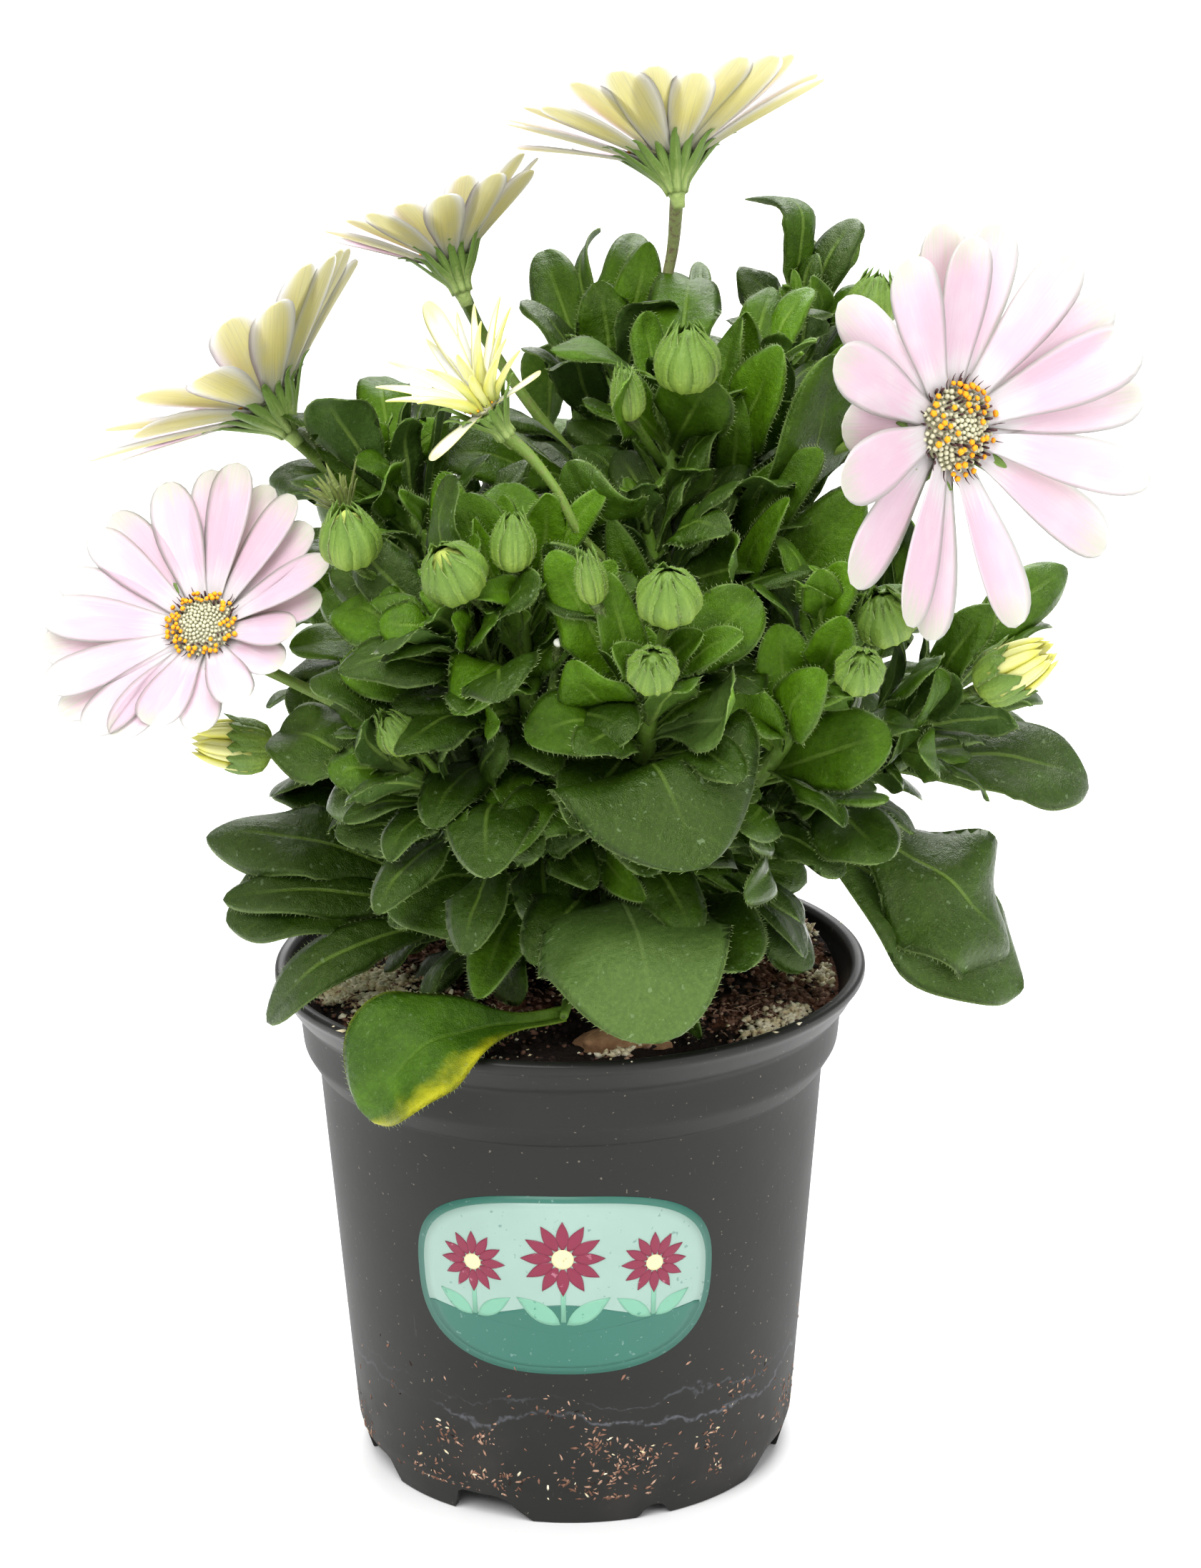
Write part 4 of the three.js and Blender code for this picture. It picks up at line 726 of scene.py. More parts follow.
def leaf_finish(name, old, young, rib, margin, roughness, rib_strength, ageing=None):
    """One side of a leaf, from its old and young greens; an ageing colour spreads in from one margin."""
    finish = Finish(name, roughness, Specular_Tint=GREEN_SHEEN, Specular_IOR_Level=0.3)
    at = finish.blade(90)
    mottle = finish.noise(at.place, 0.14, 4.0)
    lean = at.tone + (at.key - 0.5) * 0.36 + (mottle - 0.5) * 0.9
    green = finish.mix(lean.band(0.0, 1.0), old, young)
    fine = finish.noise(at.place, 1.3).band(0.3, 0.75)
    green = finish.mix(0.7, green, finish.mix(fine, (0.72, 0.76, 0.7), (1.22, 1.16, 1.15)), "MULTIPLY")

    distance, reach = abs(at.across), abs(at.side)
    branch = finish.noise(at.place, 0.35, 2.0) * 0.9 + (at.along * 0.15 - distance * 0.2)
    veins = abs(finish.math("FRACT", branch) - 0.5).band(0.4, 0.5) * at.part.band(0.2, 0.45)
    green = finish.mix(veins * 0.05, green, rib)
    midrib = distance.band(0.6, 0.15) * at.part.band(0.97, 0.6)
    green = finish.mix(midrib * rib_strength, green, rib)
    inwards = distance * ((1.0 - reach) / (reach + 0.02))
    edge = inwards.band(0.55, 0.12) * reach.band(0.5, 0.7)
    green = finish.mix(edge * 0.5, green, margin)
    green = finish.mix(at.part.band(0.28, 0.05) * 0.45, green, rib)
    if ageing:
        spread = mottle * 1.1 - at.side
        green = finish.mix(spread.band(1.05, 1.7) * at.part.band(0.2, 0.5), green, ageing)

    dust = finish.math("MAXIMUM", finish.noise(at.place, 2.6, 1.0).band(0.7, 0.77),
                       finish.noise(at.place, 6.0, 1.0).band(0.66, 0.74))
    green = finish.mix(dust * 0.36, green, DUST)
    dried = finish.noise(at.place, 0.7, 1.0).band(0.7, 0.74) * at.tone.band(0.45, 0.2)
    finish.feed("Base Color", finish.mix(dried * 0.3, green, DRIED_WATER))

    relief = finish.noise(at.place, 0.2, 2.0) * 1.6 + finish.noise(at.place, 0.9) * 0.45
    relief = relief + finish.noise(at.place, 4.0, 2.0) * 0.42 + midrib * -0.4
    finish.bump(relief, 0.7, 0.0008)
    finish.feed("Roughness", mottle.ranged(0.3, 0.7, roughness - 0.07, roughness + 0.08))
    finish.feed("Specular IOR Level", at.tone.ranged(0.1, 0.5, 0.4, 0.24))
    return finish.material


LEAF_TOP = leaf_finish("leaf_upper_side", shade(38, 62, 5), shade(78, 118, 10), shade(116, 146, 58),
                       shade(134, 162, 88), 0.3, 0.5)
LEAF_UNDER = leaf_finish("leaf_underside", shade(62, 90, 34), shade(104, 142, 42), shade(134, 162, 76),
                         shade(138, 164, 92), 0.5, 0.6)
# the pale leaf finish is a painted sheen: its lighter, greyer greens stand in for the broad highlight on two
# front leaves
LEAF_PAINTED_SHEEN = leaf_finish("leaf_with_painted_sheen", shade(72, 98, 42), shade(86, 114, 50), shade(124, 150, 84),
                        shade(134, 162, 88), 0.34, 0.5)
LEAF_AGEING = leaf_finish("ageing_leaf", shade(44, 76, 10), shade(92, 134, 24), shade(104, 136, 44),
                          shade(140, 156, 50), 0.3, 0.2, shade(176, 172, 24))


def hair_finish(name, colour):
    """Short pale hairs, matt and faintly mottled."""
    finish = Finish(name, 0.7, Specular_IOR_Level=0.3)
    tint = finish.noise(finish.object_place(), 300.0, 2.0)
    finish.feed("Base Color", finish.mix(tint, colour, tuple(0.75 * c for c in colour)))
    return finish.material


LEAF_HAIR = hair_finish("leaf_hair", shade(176, 198, 130))


def stem_finish(name, lower, upper, fleck, amount):
    """A stem or stalk: long streaks, flecks, and a fine rough grain."""
    finish = Finish(name, 0.55, Specular_IOR_Level=0.35)
    streak = finish.noise(finish.scaled(finish.surface("span"), 0.12, 2.4, 1.0), 1.0)
    part = finish.surface("share").split()[0]
    body = finish.mix((part + (streak - 0.5)).band(0.1, 0.9), lower, upper)
    flecks = finish.noise(finish.object_place(), 900.0, 2.0).band(0.52, 0.62)
    finish.feed("Base Color", finish.mix(flecks * amount, body, fleck))
    finish.bump(finish.noise(finish.object_place(), 1500.0), 0.5, 0.0003)
    return finish.material


# the dark lower green of the shoot stems is partly painted shade, for the stem bases deep inside the canopy
SHOOT_GREEN_WITH_PAINTED_SHADE = stem_finish("shoot_stem_with_painted_shade", shade(60, 74, 26), shade(112, 150, 50), shade(136, 162, 88), 0.3)
STALK_GREEN = stem_finish("green_stalk", shade(96, 122, 44), shade(112, 140, 56), shade(120, 112, 70), 0.35)
STALK_BROWN = stem_finish("flower_stalk", shade(134, 144, 92), shade(146, 128, 106), shade(112, 82, 80), 0.6)
print("leaf and stem finishes:", len(bpy.data.materials))

# %% [markdown]
# ## Leaves
# An osteospermum leaf is spoon-shaped: a narrow, stalk-like base, a few small teeth, then a broad round
# end. It is never flat. The midrib is a groove, the margins ripple, young leaves are cupped and old ones
# roll back at the tip. All of that is written as a height over the blade, row by row.

# %% One leaf
LEAF_GRID = (20, 9)  # rows and columns of points on one side of a leaf
FILL_GRID = (14, 7)
SMALL_GRID = (11, 5)
BROAD_GRID = (30, 13)
SMALL_LEAF = 17  # leaves shorter than this have the fewest points
WIDE_LEAF = 22  # leaves wider than this are old: untoothed and hardly twisted
BROAD_LEAF = 16  # and leaves wider than this have the most points
LEAF_BLADE = 0.5  # thickness beside the midrib
QUILTING = 0.07  # how far the blade bulges between its veins, for a half width of 1
LEAF_HAIRS = 1.0  # for each millimetre of margin
FILL_HAIRS = 0.45
LEAF_HAIR_LENGTH = 0.9
HAIR_THICKNESS = 0.05
HAIR_FINISH = 2  # places in a shoot's list of finishes
STEM_FINISH = 3
LEAF_FINISHES = (0, 1)  # upper side and underside
AGEING_FINISHES = (4, 1)
PAINTED_SHEEN_FINISHES = (5, 1)


def add_leaf(basket, base, tip, width, arch, side, tone, seed, curl=0.0, finishes=LEAF_FINISHES, fill=False):
    """A leaf from its base on the stem to its tip, arched towards its upper side."""
    random = np.random.default_rng(seed)
    base, tip = np.array(base, float), np.array(tip, float)
    small = np.linalg.norm(tip - base) < SMALL_LEAF
    grid = BROAD_GRID if width > BROAD_LEAF else SMALL_GRID if small else FILL_GRID if fill else LEAF_GRID
    row_count, columns = grid
    s = np.linspace(0, 1, row_count + 1)
    t = 1 - (1 - s) ** 1.45
    run = tip - base
    size = np.linalg.norm(run)
    along = unit(run)
    normal = unit(facing(side) - along * np.dot(facing(side), along))
    across = np.cross(along, normal)
    sway = random.normal(0, 0.035) * size
    line = (base + np.outer(t, run) + np.outer(arch * 6.75 * t ** 2 * (1 - t), normal)
            + np.outer(sway * np.sin(math.pi * t), across)
            - np.outer(curl * size * np.clip(t - 0.62, 0, 1) ** 2 * 2.2, normal))
    twist = random.normal(0, 0.22 if width < WIDE_LEAF else 0.06)
    turned = (np.outer(np.cos(twist * (t - 0.3)), normal) + np.outer(np.sin(twist * (t - 0.3)), across))
    stalk = min(0.2 + 0.3 / max(width / 10, 0.5), 0.5) * 0.5
    shoulder = random.uniform(0.5, 0.66) + 0.004 * min(width, 20)
    spoon = stalk + (1 - stalk) * ease(random.uniform(0.1, 0.2), shoulder, t)
    fullness = random.uniform(1.9, 2.6)
    rounding = np.clip(1 - (np.clip(t - shoulder, 0, 1) / (1 - shoulder)) ** fullness, 0, 1)
    rounding **= 0.5 + (0.1 + 0.2 * (width < 9)) * random.uniform(0, 1) ** 2
    outline = 0.5 * width * spoon * rounding
    rows = np.arange(row_count + 1)
    toothed = (t > 0.2) & (t < 0.66)
    tooth = random.uniform(0.25, 0.8) * min(width / 8, 1) * (width < WIDE_LEAF)
    left = outline * random.uniform(0.92, 1.06) + tooth * (toothed & (rows % 4 == 1))
    right = outline * random.uniform(0.92, 1.06) + tooth * (toothed & (rows % 4 == 3))
    v = np.linspace(-1, 1, columns)
    half = outline[:, None]
    cupped = 0.4 * tone - 0.1 + random.normal(0, 0.1)
    fold = random.uniform(-0.05, 0.12)
    ripple = random.uniform(0.1, 0.32) * ease(0.2, 0.6, t)[:, None]
    phase = random.uniform(0, 6.28, 2)
    pace = random.uniform(9, 14, 2)
    wave = np.where(v[None] < 0, *(np.sin(pace[k] * t[:, None] + phase[k]) for k in (0, 1)))
    lift = (half * cupped * np.abs(v) ** 1.6 + half * fold * np.abs(v) + half * ripple * wave * np.abs(v) ** 2
            + half * QUILTING * np.sin(1.3 * pace[0] * t[:, None] + phase[1] + 2.5 * v) * (1 - np.abs(v))
            - np.minimum(half, 4) * 0.24 * np.abs(v) ** 6)
    groove = 0.35 * np.exp(-((half * v[None]) / 0.7) ** 2) * (1 - 0.7 * t[:, None])
    lift = lift - groove
    thick = LEAF_BLADE * (0.45 + 0.55 * (1 - v[None] ** 2)) + 1.1 * groove * (1.2 - t[:, None])
    key = random.uniform(0, 1)
    sheet, ways = add_blade(basket, line, turned, left, right, lift, thick, finishes, tone, key, t)
    parts = np.linspace(0.1 * row_count, row_count - 0.3, int((FILL_HAIRS if fill else LEAF_HAIRS) * size))
    add_margin_hairs(basket, sheet, ways, parts, 0.35 * along, LEAF_HAIR_LENGTH, HAIR_THICKNESS, HAIR_FINISH,
                     tone, seed)


# %% [markdown]
# ## Shoots
# Each shoot is one piece: the stem, the leaves of its table, and a crowd of smaller leaves that fill it
# out. Real shoots end in a rosette of very young, upright leaves, so each stem gets one of those too.

# %% Grow every shoot
FILL_LEAVES = 24
ROSETTE_LEAVES = 7
BACKING_SHOOTS = ("top_back", "upper_left", "back_right", "top_right", "middle", "middle_left", "back")
BACKING_LEAVES = 16
# the leaf that droops over the rim clears it, and its finish has a tone of its own
RIM_LEAF = {"width": 24, "arch": 9.5, "tone": 0.3, "seed": 3, "curl": 0.05, "finishes": AGEING_FINISHES}
PAINTED_SHEEN_LEAVES = (38, 19)  # two leaves at the front, known by their widths, get lighter greens that paint their sheen


def leaf_tone(youth, height, width):
    """How young a leaf looks: higher and smaller ones are younger."""
    age = 0.022 * min(max(width - 10, 0), 17)
    return float(np.clip(youth + 0.3 * ease(120, 230, height) - 0.25 - age, 0.02, 0.95))


def add_spiral(basket, stem, low, high, count, longest, share, youth, seed):
    """Leaves in a spiral up the stem: the lower ones long and spread, the upper ones short and upright."""
    for i, place in enumerate(np.linspace(low, high, count)):
        point, axis = stem_place(stem, place)
        first = unit(np.cross(axis, (0.3, 0.5, 0.1)))
        second = np.cross(axis, first)
        turned = i * GOLDEN_ANGLE + 6.28 * scatter(seed + 0.7)
        lean = math.radians(68 - 42 * place + 16 * scatter(seed + i))
        around = first * math.cos(turned) + second * math.sin(turned)
        way = unit(axis * math.cos(lean) + around * math.sin(lean))
        size = longest * (1.05 - 0.5 * place) * (0.8 + 0.4 * scatter(seed + 2.3 * i))
        width = size * (share + 0.1 * scatter(seed + 3.1 * i))
        tip = point + way * size
        add_leaf(basket, point, tip, width, 0.09 * size, axis, leaf_tone(youth, tip[2], width),
                 int(seed * 100 + i), curl=0.1, fill=True)


def grow_shoot(name, shoot, number):
    """One shoot as one piece."""
    basket = Basket()
    youth, stem, r = shoot["youth"], shoot["stem"], shoot["radius"]
    add_tube(basket, [CROWN_TOP, *stem], [r, r, 0.9 * r, 0.75 * r, 0.5 * r], STEM_FINISH, youth, ribs=0.06)
    for i, (place, x, y, z, width, arch, side) in enumerate(shoot["leaves"]):
        base, _ = stem_place(stem, place)
        look = {"width": width, "arch": arch, "tone": leaf_tone(youth, z, width), "seed": 1000 * number + i,
                "curl": 0.3 * scatter(7 * number + i),
                "finishes": PAINTED_SHEEN_FINISHES if width in PAINTED_SHEEN_LEAVES else LEAF_FINISHES}
        add_leaf(basket, base, (x, y, z), side=side, **(RIM_LEAF if name == "front_rim" else look))
    if name != "front_rim":
        add_spiral(basket, stem, 0.05, 0.95, FILL_LEAVES, 33, 0.34, youth - 0.3, 31.0 * number + 5)
        add_spiral(basket, stem, 0.96, 1.0, ROSETTE_LEAVES, 15, 0.32, youth + 0.15, 17.0 * number)
    if name in BACKING_SHOOTS:
        add_spiral(basket, stem, 0.25, 0.88, BACKING_LEAVES, 46, 0.32, youth - 0.45, 43.0 * number)
    finishes = [LEAF_TOP, LEAF_UNDER, LEAF_HAIR, SHOOT_GREEN_WITH_PAINTED_SHADE, LEAF_AGEING, LEAF_PAINTED_SHEEN]
    return make_piece("shoot_of_leaves_" + name, basket, finishes, "leaves", "shoot_" + name)


for number, (name, shoot) in enumerate(SHOOTS.items()):
    piece = grow_shoot(name, shoot, number + 1)
print("shoots grown, the last with", len(piece.data.polygons), "faces")

# %% [markdown]
# ## Ray petals
# A ray petal is white where it leaves the disc, pink along its middle and white again at its tip. Its back
# is quite different: a broad band of dull yellow with a pale margin. Since a blade has an upper side and an
# underside, each can have its own finish. Fine lengthwise streaks come from noise that is stretched along
# the petal, which is how its parallel veins look.

# %% Petal finishes
def petal_finish(name, base, middle, tip, margin, streaks, to_middle, to_tip, to_margin, strength):
    """One side of a ray petal. Each pair says where a colour starts and where it is full; strength is how
    much the streaks show."""
    finish = Finish(name, 0.5, Specular_IOR_Level=0.3, Subsurface_Weight=0.5, Subsurface_Radius=(1, 1, 1),
                    Subsurface_Scale=0.0016)
    at = finish.blade(70)
    streak = finish.noise(finish.scaled(at.place, 0.05, 1.2, 1.0), 1.3)
    cloud = finish.noise(finish.scaled(at.place, 0.1, 0.2, 1.0), 0.9, 2.0)
    lean = at.part + (streak - 0.5) * 0.3
    colour = finish.mix(lean.band(*to_middle), base, middle)
    colour = finish.mix(cloud.band(0.45, 0.8) * 0.5, colour, base)
    colour = finish.mix(lean.band(*to_tip), colour, tip)
    veins = finish.noise(finish.scaled(at.place, 0.03, 2.2, 1.0), 1.6, 2.0).band(0.5, 0.75)
    colour = finish.mix(veins * strength, colour, streaks)
    finish.feed("Base Color", finish.mix(abs(at.side).band(*to_margin), colour, margin))
    finish.bump(finish.noise(finish.scaled(at.place, 0.05, 1.5, 1.0), 1.6, 2.0), 0.3, 0.0003)
    return finish.material


PETAL_TOP = petal_finish("petal_upper_side", shade(204, 198, 201), shade(206, 172, 189),
                         shade(184, 182, 168), shade(178, 172, 166), shade(196, 162, 180),
                         (0.16, 0.4), (0.74, 1.0), (0.8, 1.0), 0.3)
PETAL_UNDER = petal_finish("petal_underside", shade(184, 182, 160), shade(203, 193, 120),
                           shade(196, 187, 124), shade(210, 207, 198), shade(156, 152, 124),
                           (0.1, 0.5), (0.6, 0.95), (0.42, 1.0), 0.45)
YOUNG_TOP = petal_finish("young_petal_upper_side", shade(214, 214, 204), shade(214, 214, 206),
                         shade(212, 209, 150), shade(212, 206, 104), shade(216, 216, 204),
                         (0.1, 0.4), (0.7, 0.95), (0.6, 1.0), 0.2)
YOUNG_UNDER = petal_finish("young_petal_underside", shade(190, 200, 96), shade(226, 224, 146),
                           shade(220, 216, 96), shade(220, 216, 76), shade(200, 200, 110),
                           (0.05, 0.4), (0.7, 0.95), (0.35, 0.95), 0.3)
print("petal finishes made")

# %% [markdown]
# ## One flower
# The rays are set like roof shingles: each is turned a little about its own length, so that one margin
# lies over its neighbour, and every second one sits a little lower. The two flowers that face the viewer
# list each ray's bearing and length, because their gaps and overlaps are plain to see. The half-open flower
# lists how far each ray has opened as well. The others space their rays evenly, with a little scatter.

# %% Rays
RAY_ROWS = 14
RAY_COLUMNS = 9
RAY_BLADE = 0.34
RAY_WIDTH = 0.295  # part of the reach
DISC_SHARE = 0.2
RAY_BEARINGS = {
    "right": [15, 38, 53, 67, 88, 113, 129, 136, 157, 178, 192, 208, 224, 249, 272, 284, 313, 356],
    "low_left": [11, 31, 44, 59, 69, 80, 98, 120, 134, 152, 171, 180, 199, 209, 222, 233, 245, 266, 290, 319,
                 341, 359],
}
RAY_LENGTHS = {
    "right": [43, 42, 42, 41, 40, 39, 37, 40, 40, 44, 42, 33, 41, 45, 42, 41, 39, 41],
    "low_left": [28, 28, 30, 30, 32, 31, 30, 30, 29, 30, 31, 31, 32, 32, 31, 29, 24, 24, 22, 20, 20, 24],
}
OPENED_WIDTH = 4.6
FOLDED_WIDTH = 3.7
# bearing, rise and length of each ray of the half-open flower, and whether it has opened white
HALF_OPEN_RAYS = [(88, 26, 23, 0), (109, 26, 22, 0), (98, 31, 27, 1), (74, 30, 22, 0), (239, 53, 20, 0),
                  (251, 72, 21, 0), (322, 64, 17, 0), (306, 82, 17, 0), (338, 65, 22, 0), (323, 54, 16, 0),
                  (335, 50, 20, 0), (345, 38, 16, 0), (290, 64, 14, 0), (238, 17, 19, 1), (337, 15, 15, 1),
                  (20, 48, 20, 0), (46, 40, 21, 0), (135, 34, 22, 0), (168, 44, 21, 0), (205, 50, 21, 0)]


def flower_frame(flower):
    """Where the flower's disc is, and the turn that points +Z the way it looks."""
    return np.array(flower["centre"], float), turn_towards(flower["looks"])


def add_ray(basket, flower, bearing, length, rise, width, seed, finishes, low=0.0, pointed=False):
    """One ray petal from the disc outwards; rise is its angle above the disc's plane."""
    random = np.random.default_rng(seed)
    origin, turn = flower_frame(flower)
    angle = math.radians(bearing)
    out = spoke(turn, angle)
    axis = turn @ np.array([0, 0, 1.0])
    sideways = np.cross(axis, out)
    inner = flower["reach"] * DISC_SHARE * 0.55
    s = np.linspace(0, 1, RAY_ROWS + 1)
    t = 1 - (1 - s) ** 1.5
    bend = 0.5 if pointed else 0.24
    climb = math.radians(rise) * (1 + bend * (0.5 - t)) + random.normal(0, 0.04) * t
    steps = np.diff(t, prepend=0) * (length - inner)
    reach, height = np.cumsum(steps * np.cos(climb)), np.cumsum(steps * np.sin(climb)) - low
    sway = random.normal(0, 0.015) * length * t ** 2
    line = origin + np.outer(inner + reach, out) + np.outer(height, axis) + np.outer(sway, sideways)
    twist = 0.12 + random.normal(0, 0.03) + random.normal(0, 0.06) * t
    side = np.outer(np.cos(twist), axis) + np.outer(np.sin(twist), sideways)
    v = np.linspace(-1, 1, RAY_COLUMNS)
    if pointed:
        shape = (0.5 + 0.5 * ease(0.0, 0.35, t)) * np.clip(1 - t, 0, 1) ** 0.62
        half = 0.5 * width * shape
        lift = 0.75 * half[:, None] * np.abs(v) ** 1.5
    else:
        peak = random.uniform(0.66, 0.76)
        shape = (0.4 + 0.6 * ease(0.0, peak * 0.95, t)) * np.sqrt(
            np.clip(1 - (np.clip(t - peak, 0, 1) / (1 - peak)) ** 2.5, 0, 1))
        half = 0.5 * width * shape
        grooves = -0.16 * np.exp(-((np.abs(v) - 0.34) / 0.13) ** 2)[None] * ease(0.0, 0.25, 1 - t)[:, None]
        lift = (0.1 + random.normal(0, 0.05)) * half[:, None] * np.abs(v) ** 2 + grooves
    thick = RAY_BLADE * (0.35 + 0.65 * (1 - v[None] ** 2)) * (1.15 - 0.6 * t[:, None])
    add_blade(basket, line, side, half, half, lift, thick, finishes, 1.0, random.uniform(0, 1), t)


def grow_rays(name, flower, number):
    """All the rays of one flower, as one piece."""
    basket = Basket()
    reach, cup = flower["reach"], flower["cup"]
    if name == "half_open":
        for i, (bearing, rise, length, white) in enumerate(HALF_OPEN_RAYS):
            width, finishes = (OPENED_WIDTH, (2, 2)) if white else (FOLDED_WIDTH, (2, 3))
            add_ray(basket, flower, bearing, length, rise, width, 900 + i, finishes, pointed=not white)
    else:
        count = flower["rays"]
        even = [(i + 0.5) * 360 / count + 5 * (scatter(300 * number + i) - 0.5) for i in range(count)]
        alike = [reach * (0.94 + 0.1 * scatter(300 * number + i + 0.5)) for i in range(count)]
        rays = zip(RAY_BEARINGS.get(name, even), RAY_LENGTHS.get(name, alike))
        for i, (bearing, length) in enumerate(rays):
            seed = 300 * number + i
            lower = i % 2
            width = reach * RAY_WIDTH * (0.9 + 0.18 * scatter(seed + 0.3))
            rise = cup + 4 * (scatter(seed + 0.2) - 0.5) - 3 * lower
            add_ray(basket, flower, bearing, length, rise, width, seed, (0, 1), low=0.7 * lower)
    finishes = [PETAL_TOP, PETAL_UNDER, YOUNG_TOP, YOUNG_UNDER]
    return make_piece("ray_petals_of_" + name, basket, finishes, "petals", "ray_petals_" + name)


# %% [markdown]
# ## Disc florets
# The middle of a daisy is a crowd of tiny flowers in a spiral. The inner ones are still shut and grey-beige.
# Round them the open ones are pale tubes tipped with orange anthers, mixed with dark purple tubes, and thin
# dark hooks stand out over the bases of the rays.

# %% Disc
def floret_finish(name, dark, light, scale, roughness=0.7):
    """Small florets: two colours clouded together and a grainy surface."""
    finish = Finish(name, roughness, Specular_IOR_Level=0.3)
    part = finish.surface("share").split()[0]
    cloud = finish.noise(finish.object_place(), scale)
    finish.feed("Base Color", finish.mix((part + (cloud - 0.5)).band(0.1, 0.9), dark, light))
    finish.bump(finish.noise(finish.object_place(), 2600.0, 2.0), 0.6, 0.0002)
    return finish.material


FLORET_SHUT = floret_finish("shut_florets", shade(150, 148, 112), shade(206, 204, 174), 1200.0)
FLORET_ORANGE = floret_finish("orange_anthers", shade(206, 112, 12), shade(244, 170, 30), 900.0)
FLORET_DARK = floret_finish("dark_florets", shade(40, 22, 34), shade(84, 56, 56), 900.0, 0.5)
FLORETS = 210
YOUNG_FLORETS = 60
OPEN_FLORETS_FROM = {"right": 0.3, "low_left": 0.66}  # as a part of the disc's radius
SHUT_SHAPE = [(0, 0), (0.42, 0.1), (0.5, 0.55), (0.36, 0.95), (0, 1.1)]
TUBE_SHAPE = [(0, 0), (0.26, 0.1), (0.3, 1.1), (0.36, 1.5), (0, 1.6)]
STAR_SHAPE = [(0, 0), (0.42, 0.1), (0.62, 0.45), (0.4, 0.8), (0, 0.9)]
LOBE_SHAPE = [(0, 0), (0.24, 0.1), (0.27, 1.4), (0.2, 1.9), (0, 2.0)]
HOOK_LENGTH = 2.4


def grow_disc(name, flower, number):
    """The florets of one flower, on a low dome."""
    basket = Basket()
    origin, turn = flower_frame(flower)
    young = name == "half_open"
    radius = flower["reach"] * DISC_SHARE * (0.75 if young else 1.0)
    count = YOUNG_FLORETS if young else FLORETS
    dome = 0.3 * radius
    ripe = OPEN_FLORETS_FROM.get(name, 0.55)
    size = radius / 8

    def height(r):
        return 1.0 + dome * (1 - (r / radius) ** 2)

    def put(shape, place, lean, finish, grow):
        profile = [(a * size * grow, b * size * grow) for a, b in shape]
        add_turned(basket, profile, place, turn @ turn_towards(lean), finish, 0.5, 5)

    profile = [(0, -0.2), (radius * 0.92, 0.0)]
    profile += [(radius * x, height(radius * x) - 0.3) for x in (0.97, 0.85, 0.6, 0.3, 0)]
    add_turned(basket, profile, origin, turn, 0, 0.5, 24)
    for k in range(count):
        share = math.sqrt((k + 0.5) / count)
        angle = k * GOLDEN_ANGLE
        flat = np.array([math.cos(angle), math.sin(angle), 0])
        place = share + 0.14 * (scatter(number + 7 * k) - 0.5)
        lean = unit(flat * (0.5 * place + 0.5 * ease(0.75, 1.05, place)) + (0, 0, 1.0))
        spot = origin + turn @ (flat * radius * share + (0, 0, height(radius * share) - 0.25))
        grow = 0.85 + 0.35 * scatter(number + k)
        kind = scatter(3.3 * k + number)
        if place < ripe or kind < (0.5 if name == "right" else 0.25):
            put(SHUT_SHAPE, spot, lean, 0, grow)
        elif kind < 0.75:
            put(TUBE_SHAPE, spot, lean, 0, grow)
            put(STAR_SHAPE, spot + turn @ lean * 1.35 * size * grow, lean, 1, grow * 1.1)
        else:
            put(LOBE_SHAPE, spot, lean, 2, grow)
        if place > 0.9 and scatter(k + 0.6) < 0.5:
            start = spot + turn @ lean * size
            reach = turn @ unit(flat * 1.5 + (0, 0, 0.6)) * HOOK_LENGTH * size
            bend = turn @ np.array([0, 0, 0.5 * size])
            points = [start, start + 0.6 * reach, start + reach + bend]
            add_tube(basket, points, [0.16 * size, 0.13 * size, 0.04], 2, 0.5, sides=5, steps=6)
    return make_piece("disc_florets_of_" + name, basket, [FLORET_SHUT, FLORET_ORANGE, FLORET_DARK], "florets",
                      "disc_florets_" + name)


# %% [markdown]
# ## Bract cups and flower stalks
# Under the rays the stalk widens into a funnel, and pointed green bracts stand round it in two layers that
# lie along the backs of the petals. The stalk below is slim, flecked and hairy. The stalk's plain solid
# holds the cup as well, so one piece makes both.

# %% Bracts
def bract_finish(name, low, high, shadow, edge):
    """Green bracts: paler towards the base, with painted shade on the flanks beside the keel, and thin pale
    fuzzy margins.
    """
    finish = Finish(name, 0.5, Specular_IOR_Level=0.35)
    at = finish.blade(50)
    streak = finish.noise(finish.scaled(at.place, 0.2, 1.6, 1.0), 1.4)
    colour = finish.mix((at.part + (streak - 0.5)).band(0.0, 0.8), low, high)
    reach = abs(at.side)
    # painted shade: the colour darkens towards the sides of each bract, where its neighbours overlap it
    colour = finish.mix(reach.band(0.1, 0.8) * 0.6, colour, shadow)
    finish.feed("Base Color", finish.mix(reach.band(0.84, 0.98) * 0.7, colour, edge))
    finish.bump(finish.noise(finish.object_place(), 1400.0), 0.6, 0.0004)
    return finish.material


BRACT_GREEN = bract_finish("bract_green", shade(166, 186, 112), shade(110, 140, 62), shade(104, 136, 60),
                           shade(150, 172, 108))
BUD_GREEN = bract_finish("bud_bracts", shade(136, 162, 66), shade(98, 128, 46), shade(78, 108, 36),
                         shade(164, 182, 112))
BUD_YELLOW = floret_finish("bud_petal_backs", shade(134, 156, 60), shade(170, 184, 88), 260.0)
DRY_BRACT = bract_finish("dry_bracts", shade(106, 132, 56), shade(126, 138, 70), shade(76, 92, 42),
                         shade(160, 152, 110))
BRACT_HAIR = hair_finish("bract_hair", shade(196, 210, 156))
CUP_DEPTH = 9.6
STALK_RADIUS = 1.1
BRACTS = 9
FUZZ_FINISH = 3  # place of the pale hairs in a stalk's or bud's list of finishes
FUZZ_THICKNESS = 0.03


